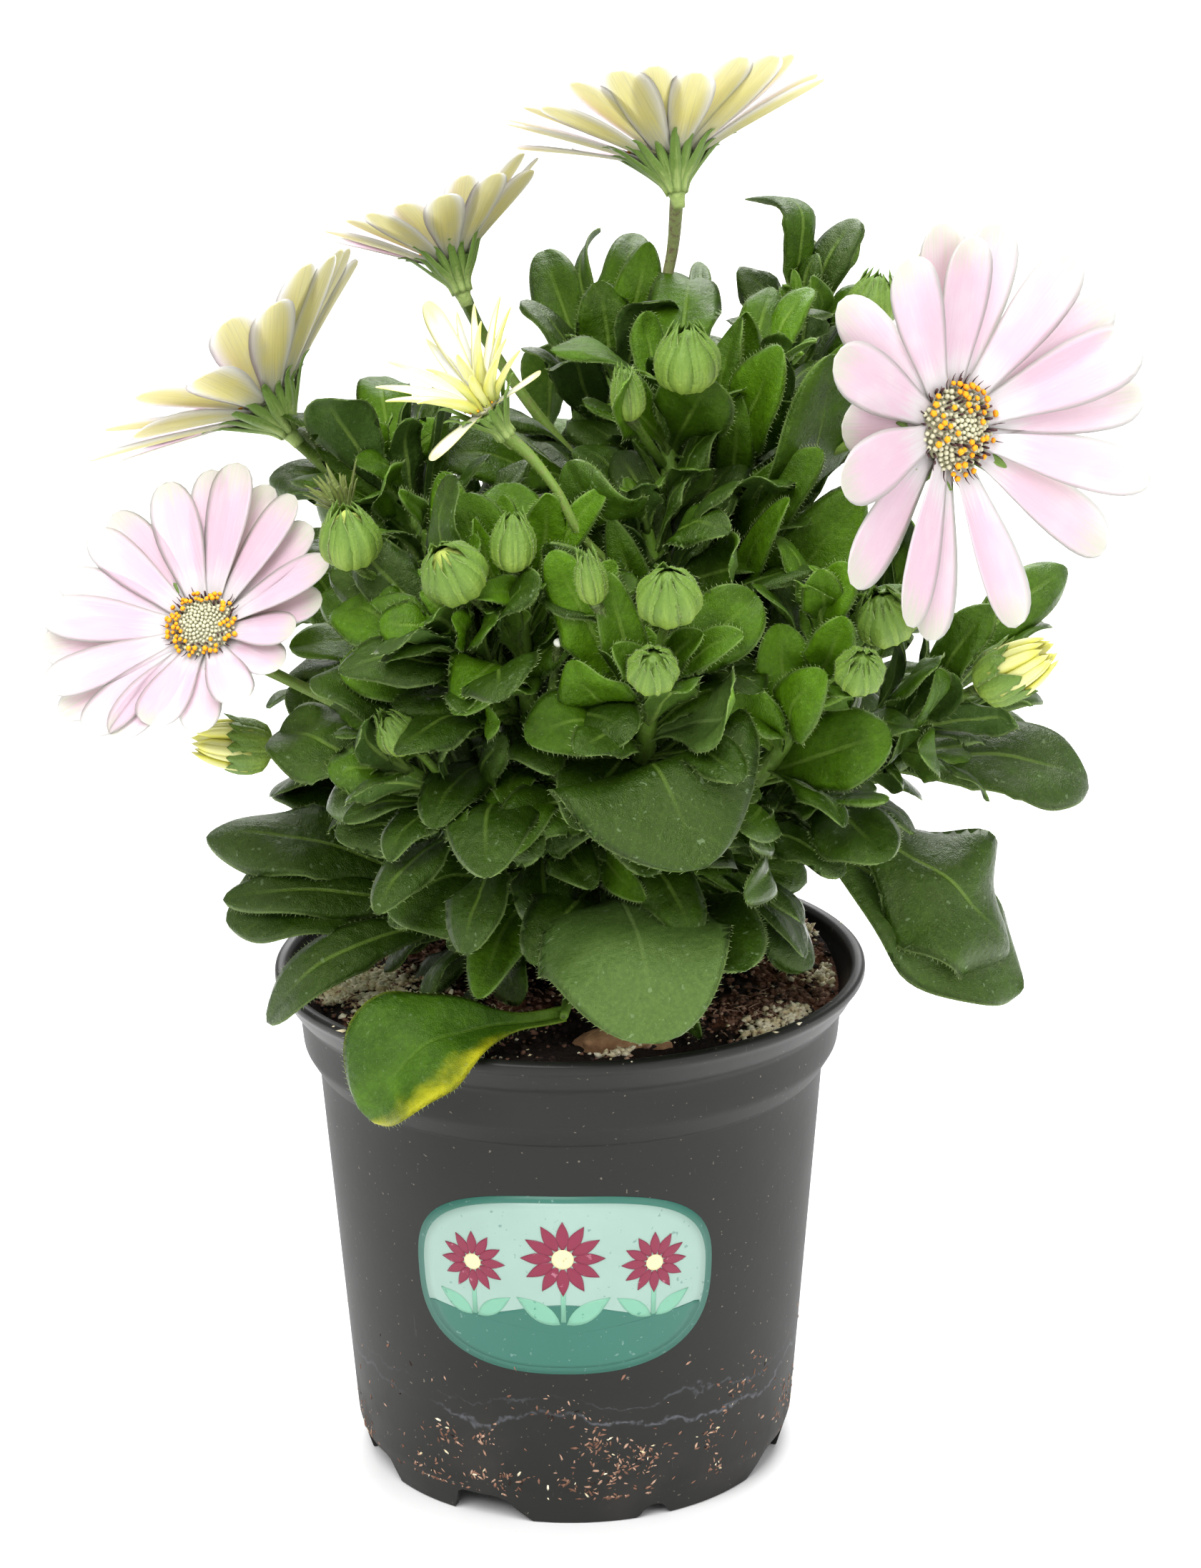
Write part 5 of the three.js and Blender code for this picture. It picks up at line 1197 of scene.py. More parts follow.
def add_bract(basket, line, side, half, finish, key, bulge=0.35, hairs=0):
    """A pointed bract along a line, given its half widths, with its outer side facing the given way."""
    rows = len(line) - 1
    t = np.linspace(0, 1, rows + 1)
    v = np.linspace(-1, 1, 7)
    lift = -bulge * half[:, None] * np.abs(v) ** 2 + 0.14 * np.exp(-(v * 3.0) ** 2)[None] * (1 - t)[:, None]
    thick = np.full(lift.shape, 0.3)
    sheet, ways = add_blade(basket, line, side, half, half, lift, thick, (finish, finish), 0.5, key, t)
    if hairs:
        forward = unit(line[-1] - line[0])
        add_margin_hairs(basket, sheet, ways, np.linspace(1, rows - 0.5, hairs), 0.5 * forward, 0.6,
                         FUZZ_THICKNESS, FUZZ_FINISH, 0.5, int(key * 1e5))


def add_fuzz(basket, body, ring, length, seed):
    """Fine hairs all over a stalk."""
    add_hairs(basket, body.reshape(-1, 3), ring.reshape(-1, 3), length, FUZZ_THICKNESS, FUZZ_FINISH, 0.5,
              seed)


def grow_stalk(name, flower, number):
    """Stalk, receptacle and bracts of one flower."""
    basket = Basket()
    origin, turn = flower_frame(flower)
    looks = unit(flower["looks"])
    reach = flower["reach"]
    slope = math.tan(math.radians(min(flower["cup"] * 1.05, 40)))
    rim = reach * DISC_SHARE
    size = rim / 7
    slim = 0.8 if name == "half_open" else 1.0
    under = origin - looks * (CUP_DEPTH - 2.2)
    radii = [1.4, STALK_RADIUS * slim, STALK_RADIUS * slim, 1.2]
    body, ring = add_tube(basket, [under, *flower["stalk"]], radii, 0, 0.5, ribs=0.05, steps=32)
    add_fuzz(basket, body, ring, 0.5, number)
    profile = [(0, -CUP_DEPTH - 0.6), (1.15, -CUP_DEPTH - 0.5), (1.35, -8.6), (1.8, -7.0), (2.7 * size, -5.3),
               (4.2 * size, -3.6), (5.6 * size, -2.0), (5.9 * size, -1.0), (5.2 * size, -0.5), (0, -0.4)]
    add_turned(basket, profile, origin, turn, 1, 0.5, 28)
    for layer, scale in ((0, 1.0), (1, 0.84)):
        for i in range(BRACTS):
            angle = (i + 0.5 * layer) * 2 * math.pi / BRACTS + 0.24 * (scatter(number + i) - 0.5)
            out = spoke(turn, angle)
            long = reach * 0.37 * scale * (0.88 + 0.24 * scatter(number + 3 * i))
            tip = slope * (long - rim * 0.55) - 1.2 - 1.1 * scatter(number + 4 * i)
            knots = [(1.7, -7.4), (2.8 * size, -5.4), (4.4 * size, -3.7), (6.0 * size, -2.2),
                     (long * 0.82, slope * (long * 0.82 - rim * 0.55) - 1.3 - 0.3 * layer), (long, tip)]
            path = smooth_path([(r, 0, h) for r, h in knots])
            t = np.linspace(0, 1, 13)
            flat = np.array([path(x)[0] for x in t])
            line = origin + np.outer(flat[:, 0] + 0.35 * (1 - layer), out) + np.outer(flat[:, 2], looks)
            half = np.minimum(0.5 + 0.2 * flat[:, 0], 1.45 * size) * np.clip((1 - t) / 0.45, 0, 1) ** 0.75
            add_bract(basket, line, unit(out - 0.9 * looks), half, 1, scatter(i + number), hairs=7)
    stalk = STALK_BROWN if name == "top" else STALK_GREEN
    return make_piece("flower_stalk_of_" + name, basket, [stalk, BRACT_GREEN, BUD_YELLOW, BRACT_HAIR],
                      "bracts", "flower_stalk_" + name)


for number, (name, flower) in enumerate(FLOWERS.items()):
    grow_rays(name, flower, number + 1)
    grow_disc(name, flower, number + 1)
    grow_stalk(name, flower, number + 1)
print("flowers made:", list(FLOWERS))

# %% [markdown]
# ## Buds
# A bud is a tight globe of wide bracts, pinched together at the top. Each bract has a pale raised keel, so
# the globe looks ribbed, and its pointed tip stands up or curls back, which gives the bud its small rough
# crown. The petals inside show as pale yellow strips where two bracts part, and an opening bud pushes a
# cone of folded petals out of its cup.

# %% Buds
OPENING_BUDS = ("low_left", "right", "behind_right")
PARTED_BUDS = ("front_left", "left")  # closed, but a little yellow shows at the top
GLOBE = [(0.0, 0.16), (0.04, 0.5), (0.14, 0.82), (0.3, 0.98), (0.48, 1.0), (0.64, 0.9), (0.77, 0.7),
         (0.87, 0.45), (0.94, 0.22), (1.0, 0.1)]
BUD_BRACTS = 7
FOLDED_PETALS = 15  # in the cone of an opening bud
BRACT_TIP = 2.1


def add_bud_bract(basket, middle, axis, out, bud, top, seed, wide):
    """One bract hugging the globe up to its share of the height, then standing off with its tip."""
    heights, widths = [z for z, _ in GLOBE], [r for _, r in GLOBE]
    radius = bud["wide"] / 2
    t = np.linspace(0, 1, 11)
    z = 0.01 + (top - 0.01) * t
    near = np.interp(z, heights, widths)
    curl = BRACT_TIP * (scatter(seed + 2) - 0.2) * ease(0.78, 1.0, t)
    line = (middle + np.outer(radius * near * wide[1] + 0.7 * curl, out)
            + np.outer(bud["long"] * (z - 0.5) + 0.9 * np.abs(curl), axis))
    half = wide[0] * math.pi * radius * near / BUD_BRACTS * np.clip((1 - t) / 0.3, 0, 1) ** 0.7
    v = np.linspace(-1, 1, 7)
    ridges = np.exp(-(v * 4) ** 2) + 0.25 * np.exp(-((np.abs(v) - 0.55) * 6) ** 2)
    lift = -0.42 * half[:, None] * np.abs(v) ** 2 + 0.24 * ridges[None] * ease(0, 0.2, t)[:, None]
    lift = lift + 0.22 * np.abs(v) ** 8
    thick = np.full(lift.shape, 0.3)
    side = unit(out + 0.25 * axis)
    sheet, ways = add_blade(basket, line, side, half, half, lift, thick, (1, 1), 0.5, scatter(seed), t)
    add_margin_hairs(basket, sheet, ways, np.arange(2, 10), out + 0.4 * axis, 0.55, 0.04, FUZZ_FINISH, 0.5,
                     seed)
    roots = sheet[2:9, 2:5].reshape(-1, 3)
    add_fuzz(basket, roots, np.broadcast_to(out + 0.6 * axis, roots.shape), 0.4, seed + 3)


def grow_bud(name, bud, number):
    """Bud, its bracts and its stalk as one piece."""
    basket = Basket()
    axis = unit(bud["points"])
    turn = turn_towards(axis)
    middle = np.array(bud["at"], float)
    half_long, radius = bud["long"] / 2, bud["wide"] / 2
    opening = name in OPENING_BUDS
    foot = middle - axis * half_long * 0.9
    body, ring = add_tube(basket, [foot, *bud["stalk"]], [1.2, 0.85, 1.0], 0, 0.7, sides=8, ribs=0.05,
                          steps=16)
    add_fuzz(basket, body, ring, 0.4, number + 70)
    core = [(0, -half_long)] + [(0.9 * radius * r, -half_long + bud["long"] * 0.93 * z) for z, r in GLOBE[1:]]
    core.append((0, half_long * 0.7))
    core_finish = 4 if opening else 2 if name in PARTED_BUDS else 1
    add_turned(basket, core, middle, turn, core_finish, 0.5, 16)
    for layer in (0, 1):
        for i in range(BUD_BRACTS):
            seed = 13 * number + 5 * i + layer
            angle = (i + 0.5 * layer) * 2 * math.pi / BUD_BRACTS + 0.3 * (scatter(seed) - 0.5)
            out = spoke(turn, angle)
            top = (0.5 + 0.2 * scatter(seed) if opening else 1.0) * (0.92 + 0.1 * scatter(seed + 1))
            wide = (1.05 - 0.05 * layer, 1.04 - 0.05 * layer)
            add_bud_bract(basket, middle, axis, out, bud, top, seed, wide)
    if opening:
        t = np.linspace(0, 1, 10)
        for i in range(FOLDED_PETALS):
            out = spoke(turn, i * 2 * math.pi / FOLDED_PETALS + 0.3 * scatter(i))
            long = bud["long"] * (0.7 + 0.1 * scatter(i + number))
            away = radius * np.sqrt(1 - (0.9 * t) ** 2.4) * (0.93 + 0.07 * (i % 2))
            line = middle + np.outer(away, out) + np.outer(-0.16 * bud["long"] + long * t, axis)
            half = 1.4 * math.pi * away / FOLDED_PETALS * np.clip((1 - t) / 0.2, 0, 1) ** 0.6
            add_bract(basket, line, unit(out + 0.3 * axis), half, 4, scatter(i + 3), bulge=0.7)
    finishes = [SHOOT_GREEN_WITH_PAINTED_SHADE, BUD_GREEN, BUD_YELLOW, BRACT_HAIR, YOUNG_UNDER]
    return make_piece("bud_of_" + name, basket, finishes, "bracts", "bud_" + name)


for number, (name, bud) in enumerate(BUDS.items()):
    grow_bud(name, bud, number + 1)
print("buds made:", len(BUDS))

# %% [markdown]
# ## What is left of older flowers
# Two traces of earlier blooms remain: a spent head at the left with dry, spiky bracts, and a stalk in the
# middle that was cut off square, so that its pale pith shows.

# %% Spent head and cut stalk
PITH = floret_finish("stalk_pith", shade(200, 204, 184), shade(232, 234, 220), 600.0)
SPENT_HEAD = {"at": (-41, -41, 211), "points": (-0.4, -0.2, 0.9), "stalk": [(-36, -30, 196), (-30, -18, 180)]}
SPENT_BRACTS = 22
CUT_STALK = [(-1, -68, 192), (-2, -62, 183), (-4, -44, 165)]


def make_leftovers():
    """The spent head and the cut stalk, each with its stalk."""
    basket = Basket()
    middle, axis = np.array(SPENT_HEAD["at"], float), unit(SPENT_HEAD["points"])
    turn = turn_towards(axis)
    body, ring = add_tube(basket, [middle - axis * 1.5, *SPENT_HEAD["stalk"]], [1.5, 1.0, 1.1], 0, 0.4)
    add_fuzz(basket, body, ring, 0.4, 801)
    t = np.linspace(0, 1, 11)
    for i in range(SPENT_BRACTS):
        out = spoke(turn, i * GOLDEN_ANGLE)
        open_out = 2.2 + 3.6 * scatter(i + 0.4)
        long = 7.0 + 3.5 * scatter(i + 0.1)
        line = (middle + np.outer(0.8 + open_out * t ** 1.2, out) + np.outer(-2 + long * t, axis))
        half = 1.35 * (0.6 + 0.4 * ease(0, 0.3, t)) * np.clip(1 - t, 0, 1) ** 0.75
        add_bract(basket, line, unit(out - 0.2 * axis), half, 1, scatter(i + 5), hairs=5)
    body, ring = add_tube(basket, CUT_STALK, [0.85, 0.9, 1.0], 4, 0.5)
    add_fuzz(basket, body, ring, 0.4, 802)
    top = np.array(CUT_STALK[0], float)
    add_turned(basket, [(0, -0.3), (0.8, -0.2), (0.95, 0.3), (0.7, 0.7), (0, 0.85)], top,
               turn_towards(top - np.array(CUT_STALK[1], float)), 5, 0.5, 14)
    return make_piece("traces_of_old_flowers", basket,
                      [STALK_BROWN, DRY_BRACT, BUD_YELLOW, BRACT_HAIR, SHOOT_GREEN_WITH_PAINTED_SHADE, PITH], "bracts")


leftovers = make_leftovers()
print("traces of old flowers:", len(leftovers.data.polygons), "faces")

# %% [markdown]
# ## The pot
# A nursery pot is a thin turned wall: a tapered cup with a flat floor, a stepped collar and a rolled lip. Its
# section is one line from axis to axis: out below the floor, up, over the lip and back down inside. Every
# corner of that line is eased with a few extra points, because moulded plastic never has a knife edge and
# the eased corners are what catch the light. The feet and the drain holes are then cut with booleans.

# %% The pot's section
POT_PROFILE = [(0, 6), (42.2, 6), (41.5, 0), (42.7, 0), (45.2, 8), (51.4, 85.5), (52.0, 86), (54.4, 90),
               (55.2, 98), (57.0, 99.6), (59.0, 103.0), (60.0, 104.2), (59.9, 105.5), (59.2, 106),
               (58.0, 106), (57.2, 105.2), (56.6, 103.0), (54.0, 98.5), (53.2, 90.4), (50.2, 85.6),
               (43.4, 7.2), (0, 7.2)]
POT_SIDES = 144
CORNER = 0.9  # how far each corner is eased
STEP = 6.0  # no two points of the section are further apart
NOTCHES = 8
FIRST_NOTCH = 22  # bearing of the first, in degrees
SMALL_NOTCHES = (2, 6)  # these two are half round
NOTCH_HALF = 8.8  # half the width of the others, at the foot
STEEP = 2.2  # how far a notch's side leans inwards
SLOPING = 6.5
DRAIN_RING = 27
DRAIN_RADIUS = 4
NOTCH_TURN = {1: 1, 5: 1, 3: -1, 7: -1}  # which side of a notch is the sloping one


def eased(profile, radius):
    """A profile from pole to pole with each of its corners replaced by a short curve."""
    out = [profile[0]]
    for before, point, after in zip(profile, profile[1:], profile[2:]):
        point = np.array(point, float)
        before, after = np.array(before, float) - point, np.array(after, float) - point
        reach = min(radius, 0.4 * np.linalg.norm(before), 0.4 * np.linalg.norm(after))
        start, end = point + unit(before) * reach, point + unit(after) * reach
        for part in (0, 0.33, 0.67, 1):
            out.append(tuple(start * (1 - part) ** 2 + 2 * point * part * (1 - part) + end * part ** 2))
    return out + [profile[-1]]


def divided(profile, step):
    """The same profile with points no further apart than a step."""
    out = []
    for (radius, height), (r2, h2) in zip(profile, profile[1:]):
        cuts = int(math.hypot(r2 - radius, h2 - height) // step) + 1
        out += [(radius + (r2 - radius) * k / cuts, height + (h2 - height) * k / cuts) for k in range(cuts)]
    return out + [profile[-1]]


def block_mesh(name, outline, low, high, turn):
    """A block for cutting: an outline of (across, height), drawn from one radius to another at a bearing."""
    count = len(outline)
    points = [(radius, across, height) for radius in (low, high) for across, height in outline]
    faces = [tuple(range(count)), tuple(reversed(range(count, 2 * count)))]
    faces += [(j, j + count, (j + 1) % count + count, (j + 1) % count) for j in range(count)]
    cos, sin = math.cos(turn), math.sin(turn)
    return new_mesh(name, [(x * cos - y * sin, x * sin + y * cos, z) for x, y, z in points], faces)


def cut_away(piece, meshes):
    """Subtracts closed meshes from a piece and keeps the result as its mesh."""
    cutters = bpy.data.collections.new("cutters")
    for mesh in meshes:
        cutters.objects.link(bpy.data.objects.new("cutter", mesh))
    modifier = piece.modifiers.new("cut", "BOOLEAN")
    modifier.operand_type = "COLLECTION"
    modifier.collection = cutters
    modifier.solver = "EXACT"
    graph = bpy.context.evaluated_depsgraph_get()
    piece.data = bpy.data.meshes.new_from_object(piece.evaluated_get(graph))
    piece.modifiers.clear()
    for cutter in list(cutters.objects):
        bpy.data.objects.remove(cutter)
    bpy.data.collections.remove(cutters)


# %% [markdown]
# ### Black plastic
# The plastic is dark grey and satin. What makes it look used is on top: a wavering pale line where water
# once stood, faint scuffs, and dust that gathers low down. Each is a mask made from height and noise.

# %% Pot finish
MARK_HEIGHTS = ((0.0245, 0.0007, 0.5), (0.0285, 0.0004, 0.25))  # height, width and strength, in metres


def plastic_finish():
    """Dark satin plastic with water marks, scuffs and dust."""
    finish = Finish("black_plastic", 0.5, Specular_IOR_Level=0.24)
    place = finish.object_place()
    height = place.split()[2]
    cloud = finish.noise(place, 18.0, 5.0, 0.6)
    body = finish.mix(cloud, shade(29, 29, 27), shade(37, 37, 35))
    wobble = (finish.noise(place, 26.0, 5.0, 0.62) - 0.5) * 0.03
    broken = finish.noise(place, 900.0).band(0.3, 0.6)
    for level, width, amount in MARK_HEIGHTS:
        line = abs(height + wobble - level).band(width, 0.0) * cloud.band(0.38, 0.55) * broken
        body = finish.mix(line * amount, body, shade(112, 114, 122))
    haze = height.band(0.034, 0.004) * finish.noise(place, 60.0, 4.0).band(0.45, 0.75)
    body = finish.mix(haze * 0.22, body, shade(92, 88, 84))
    speck = finish.noise(place, 1100.0, 1.0).band(0.735, 0.78)
    body = finish.mix(speck * 0.7, body, shade(120, 112, 100))
    scuff = finish.noise(finish.scaled(place, 900.0, 900.0, 60.0), 1.0, 2.0).band(0.72, 0.8)
    finish.feed("Base Color", finish.mix(scuff * 0.3, body, shade(84, 84, 88)))
    rough = cloud.ranged(0.3, 0.7, 0.48, 0.58) - height.band(0.097, 0.101) * 0.12
    finish.feed("Roughness", rough + haze * 0.3)
    finish.bump(finish.noise(place, 420.0, 4.0), 0.12, 0.0003)
    return finish.material


# %% [markdown]
# ### Feet and drain holes
# A pot like this stands on short feet, so that water can run out from under it. Each gap between two feet is
# cut with a block whose outline is drawn here, and each drain hole with a short cylinder.

# %% Turn, notch and drain the pot
def notch_outline(i):
    """The outline of one notch between the feet, from its left foot to its right."""
    if i in SMALL_NOTCHES:
        arch = [(3 * math.cos(a), 3.1 * math.sin(a)) for a in np.linspace(math.pi, 0, 11)]
        return [(-4.4, -1), (-4.0, 0.1), (-3.3, 0.5), *arch[1:-1], (3.3, 0.5), (4.0, 0.1), (4.4, -1)]
    side = NOTCH_TURN.get(i, 0)
    near, far = (STEEP, SLOPING) if side > 0 else (SLOPING, STEEP) if side < 0 else (STEEP, STEEP)
    left, right = -NOTCH_HALF, NOTCH_HALF
    return [(left, -1), (left, 0.0), (left + 0.45 * near, 2.4), (left + 0.8 * near, 4.9),
            (left + near + 0.8, 5.6), (right - far - 0.8, 5.6), (right - 0.8 * far, 4.9),
            (right - 0.4 * far, 2.4), (right, 0.0), (right, -1)]


def make_pot():
    """The pot: turned, notched, drained and smoothed."""
    profile = divided(eased(POT_PROFILE, CORNER), STEP)
    pot = stand("nursery_pot", new_mesh("nursery_pot", *turned_form(profile, POT_SIDES)))
    cutters = []
    for i in range(NOTCHES):
        bearing = math.radians(FIRST_NOTCH + 360 / NOTCHES * i)
        cutters.append(block_mesh("notch", notch_outline(i), 34.0, 52.0, bearing))
        drain = new_mesh("drain", *turned_form([(0, 5), (DRAIN_RADIUS, 5), (DRAIN_RADIUS, 8), (0, 8)], 24))
        drain.transform(Matrix.Translation(Vector(spoke(np.eye(3), bearing)) * DRAIN_RING * MM))
        cutters.append(drain)
    cut_away(pot, cutters)
    pot.data.materials.clear()
    pot.data.materials.append(plastic_finish())
    pot.data.shade_smooth()
    pot.data.set_sharp_from_angle(angle=math.radians(40))
    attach(pot, "root")
    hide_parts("pot")
    return pot


pot = make_pot()
print("pot faces:", len(pot.data.polygons))

# %% [markdown]
# ## The printed label
# The wall carries a small printed picture: three daisies in a mint panel with a teal border. Print has
# almost no thickness, yet it does have an edge, so each patch of ink is a closed shell a few hundredths of
# a millimetre proud of the wall. A patch is drawn flat, as millimetres to the right of the front and
# millimetres up, and then wrapped round the wall.

# %% Patches of ink
LABEL_BEARING = math.radians(-92)
LABEL_HEIGHT = 55.0
INK_STEP = 0.05
BORDER_PANEL = (61.5, 39.5, 2.7)  # width, height, and how square the corners are
MINT_PANEL = (58.5, 36.5, 2.7)
HILL_LINE = -6.0
HILL_MIDDLE = -11.0
PRINTED_DAISIES = [(-18, 4.0, 1.05), (0, 6.0, 1.3), (18, 4.0, 1.05)]  # middle, height and size
PRINTED_PETALS = 12
WALL_LINE = [(0, 42.7), (8, 45.2), (85.5, 51.4)]  # height and radius of the tapered wall


def wall_radius(height):
    """Outer radius of the wall at a height."""
    return np.interp(height, [h for h, _ in WALL_LINE], [r for _, r in WALL_LINE])


def on_wall(right, height, proud):
    """A point on the front wall: millimetres right of the label's middle, height, distance off the wall."""
    angle = LABEL_BEARING + np.asarray(right, float) / 48.5
    radius = wall_radius(height) + proud
    level = np.broadcast_to(height, radius.shape)
    return np.stack([radius * np.cos(angle), radius * np.sin(angle), level], axis=-1)


def add_patch(basket, right, up, outline, level, finish, rings=3):
    """A closed patch of ink: its outline as offsets from its middle, and how many inks lie below it."""
    count = len(outline)
    sizes = np.linspace(0, 1, rings + 1)[1:]
    flat = np.concatenate([[(0, 0)], *[np.array(outline, float) * s for s in sizes]])
    flat += (right, LABEL_HEIGHT + up)
    top = on_wall(flat[:, 0], flat[:, 1], INK_STEP * (level + 1))
    back = on_wall(flat[:, 0], flat[:, 1], -INK_STEP)
    total = len(flat)
    edge = total - count
    faces = []
    for j in range(count):
        k = (j + 1) % count
        faces += [(0, 1 + j, 1 + k), (total, total + 1 + k, total + 1 + j)]
        for a in range(1, edge, count):
            b = a + count
            faces.append((a + j, b + j, b + k, a + k))
            faces.append((total + a + k, total + b + k, total + b + j, total + a + j))
        faces.append((edge + j, total + edge + j, total + edge + k, edge + k))
    basket.add(np.concatenate([top, back]), faces, finish)


def evenly(outline, count):
    """The same closed outline with evenly spaced points."""
    outline = np.array(outline, float)
    loop = np.vstack([outline, outline[:1]])
    length = np.concatenate([[0], np.cumsum(np.linalg.norm(np.diff(loop, axis=0), axis=1))])
    places = np.linspace(0, length[-1], count, endpoint=False)
    return np.stack([np.interp(places, length, loop[:, k]) for k in (0, 1)], axis=1)


def panel(width, height, corner, points=110):
    """A rounded panel, widest at the middle."""
    angle = np.linspace(0, 2 * math.pi, 720, endpoint=False)
    cos, sin = np.cos(angle), np.sin(angle)
    flat = np.stack([0.5 * width * np.sign(cos) * np.abs(cos) ** (2 / corner),
                     0.5 * height * np.sign(sin) * np.abs(sin) ** (2 / corner)], axis=1)
    return evenly(flat, points)


def leaf_outline(length, width, turn):
    """A pointed leaf seen from above, from its middle, turned by an angle."""
    s = np.linspace(0, 1, 10)
    half = 0.5 * width * np.sin(math.pi * s ** 0.85)
    upper = np.stack([(s - 0.5) * length, half], axis=1)
    lower = np.stack([(s[::-1] - 0.5) * length, -half[::-1]], axis=1)[1:-1]
    flat = np.concatenate([upper[::-1], lower[::-1]])
    cos, sin = math.cos(turn), math.sin(turn)
    return flat @ np.array([[cos, sin], [-sin, cos]])


def ink_finish(name, colour, worn):
    """Printed ink with small worn specks."""
    finish = Finish(name, 0.42, Specular_IOR_Level=0.4)
    place = finish.object_place()
    cloud = finish.noise(place, 120.0, 4.0)
    body = finish.mix(cloud, tuple(0.88 * c for c in colour), colour)
    speck = finish.noise(place, 700.0).band(0.66, 0.7)
    finish.feed("Base Color", finish.mix(speck * 0.8, body, worn))
    finish.bump(finish.noise(place, 420.0, 4.0), 0.1, 0.0003)
    return finish.material


def make_label():
    """The printed daisies in their panel."""
    inks = [ink_finish("ink_teal", shade(50, 108, 93), shade(104, 140, 130)),
            ink_finish("ink_mint", shade(150, 178, 167), shade(104, 136, 128)),
            ink_finish("ink_crimson", shade(128, 34, 62), shade(170, 110, 126)),
            ink_finish("ink_cream", shade(226, 214, 168), shade(170, 160, 120)),
            ink_finish("ink_leaf", shade(120, 176, 150), shade(70, 130, 112))]
    basket = Basket()
    add_patch(basket, 0, 0, panel(*BORDER_PANEL), 0, 0, rings=12)
    add_patch(basket, 0, 0, panel(*MINT_PANEL), 1, 1, rings=12)
    inner = panel(*MINT_PANEL, 240)
    left, right = (inner[inner[:, 1] < HILL_LINE][k] for k in (0, -1))
    crest = np.linspace(right[0], left[0], 40)
    ridge = np.stack([crest, HILL_LINE + 1.6 * np.cos(crest * 0.16) - 1.6 * np.cos(left[0] * 0.16)], axis=1)
    hill = np.concatenate([inner[inner[:, 1] < HILL_LINE], ridge[1:-1]])
    add_patch(basket, 0, HILL_MIDDLE, evenly(hill - (0, HILL_MIDDLE), 110), 2, 0, rings=10)
    for middle, height, size in PRINTED_DAISIES:
        stem = [(-0.5, -10 * size), (0.5, -10 * size), (0.4, 0), (-0.4, 0)]
        add_patch(basket, middle, height - 1.0, stem, 3, 4, rings=2)
        for side in (-1, 1):
            turn = math.radians(90 - side * 56)
            leaf = leaf_outline(8 * size, 3.0 * size, turn)
            add_patch(basket, middle + side * 3.8 * size, height - 9.0 * size, leaf, 3, 4)
        for turn in circle(PRINTED_PETALS):
            petal = leaf_outline(4.9 * size, 1.9 * size, turn)
            x, y = middle + 3.9 * size * math.cos(turn), height + 3.9 * size * math.sin(turn)
            add_patch(basket, x, y, petal, 4, 2)
        add_patch(basket, middle, height, panel(3.3 * size, 3.3 * size, 2, 20), 5, 3)
    return make_piece("printed_label", basket, inks, "pot_plastic")


label = make_label()
print("label patches:", len(label.data.polygons), "faces")

# %% [markdown]
# ## Crumbs
# Peat crumbs lie on the mix and cling to the wall where the pot stood in it. Each crumb is a small uneven
# lump with seven points: one above, one below and five round the middle, every one pushed in or out a
# little. Thousands of them cost little, because a few finishes are shared between all.

# %% Crumb maker
UPWARDS = np.array([0, 0, 1.0])
CRUMB_FACES = [(5, k, (k + 1) % 5) for k in range(5)] + [(6, (k + 1) % 5, k) for k in range(5)]


def add_crumbs(basket, middles, ups, sizes, finish, seed, flat=0.7, long=1.3):
    """Crumbs at the given places; flat is their height and long their length, for a width of 1."""
    random = np.random.default_rng(seed)
    count = len(middles)
    ups = unit(ups)
    first = unit(np.cross(ups, random.normal(0, 1, (count, 3))))
    second = np.cross(ups, first)
    sizes = np.broadcast_to(np.asarray(sizes, float), (count,))[:, None]
    corners = []
    for k in range(5):
        angle = 2 * math.pi * k / 5
        grow = random.uniform(0.65, 1.3, (count, 1)) * sizes * 0.5
        corners.append(middles + grow * (first * math.cos(angle) * long + second * math.sin(angle)
                                         + ups * random.normal(0, 0.15, (count, 1))))
    for way in (1, -1):
        corners.append(middles + way * ups * sizes * 0.5 * flat * random.uniform(0.7, 1.3, (count, 1)))
    points = np.stack(corners, axis=1).reshape(-1, 3)
    faces = [tuple(7 * n + k for k in face) for n in range(count) for face in CRUMB_FACES]
    basket.add(points, faces, finish)


def add_fibres(basket, middles, length, thickness, finish, seed):
    """Thin bent fibres lying on the ground."""
    random = np.random.default_rng(seed)
    for middle in middles:
        way = unit(np.cross(UPWARDS, random.normal(0, 1, 3)))
        bend = np.cross(UPWARDS, way) * random.normal(0, 0.25) * length
        reach = way * length * random.uniform(0.3, 0.6)
        points = [middle - reach, middle + bend * 0.3 + UPWARDS * 0.2, middle + reach]
        add_tube(basket, points, [thickness * 0.5, thickness, thickness * 0.4], finish, 0.5, sides=4, steps=5)


def grain_finish(name, dark, light, scale, roughness=0.9):
    """Matt grain of two colours."""
    finish = Finish(name, roughness, Specular_IOR_Level=0.2)
    cloud = finish.noise(finish.object_place(), scale)
    finish.feed("Base Color", finish.mix(cloud.band(0.35, 0.65), dark, light))
    finish.bump(finish.noise(finish.object_place(), 1800.0), 0.6, 0.0004)
    return finish.material


CRUMB_DARK = grain_finish("dark_crumbs", shade(30, 24, 22), shade(58, 44, 38), 500.0)
CRUMB_BROWN = grain_finish("brown_crumbs", shade(104, 76, 62), shade(146, 108, 90), 400.0)
CRUMB_TAN = grain_finish("tan_crumbs", shade(156, 120, 100), shade(194, 160, 138), 400.0)
CRUMB_CREAM = grain_finish("cream_crumbs", shade(226, 208, 166), shade(248, 240, 214), 300.0)
PEAT_FINISHES = [CRUMB_DARK, CRUMB_BROWN, CRUMB_TAN, CRUMB_CREAM]

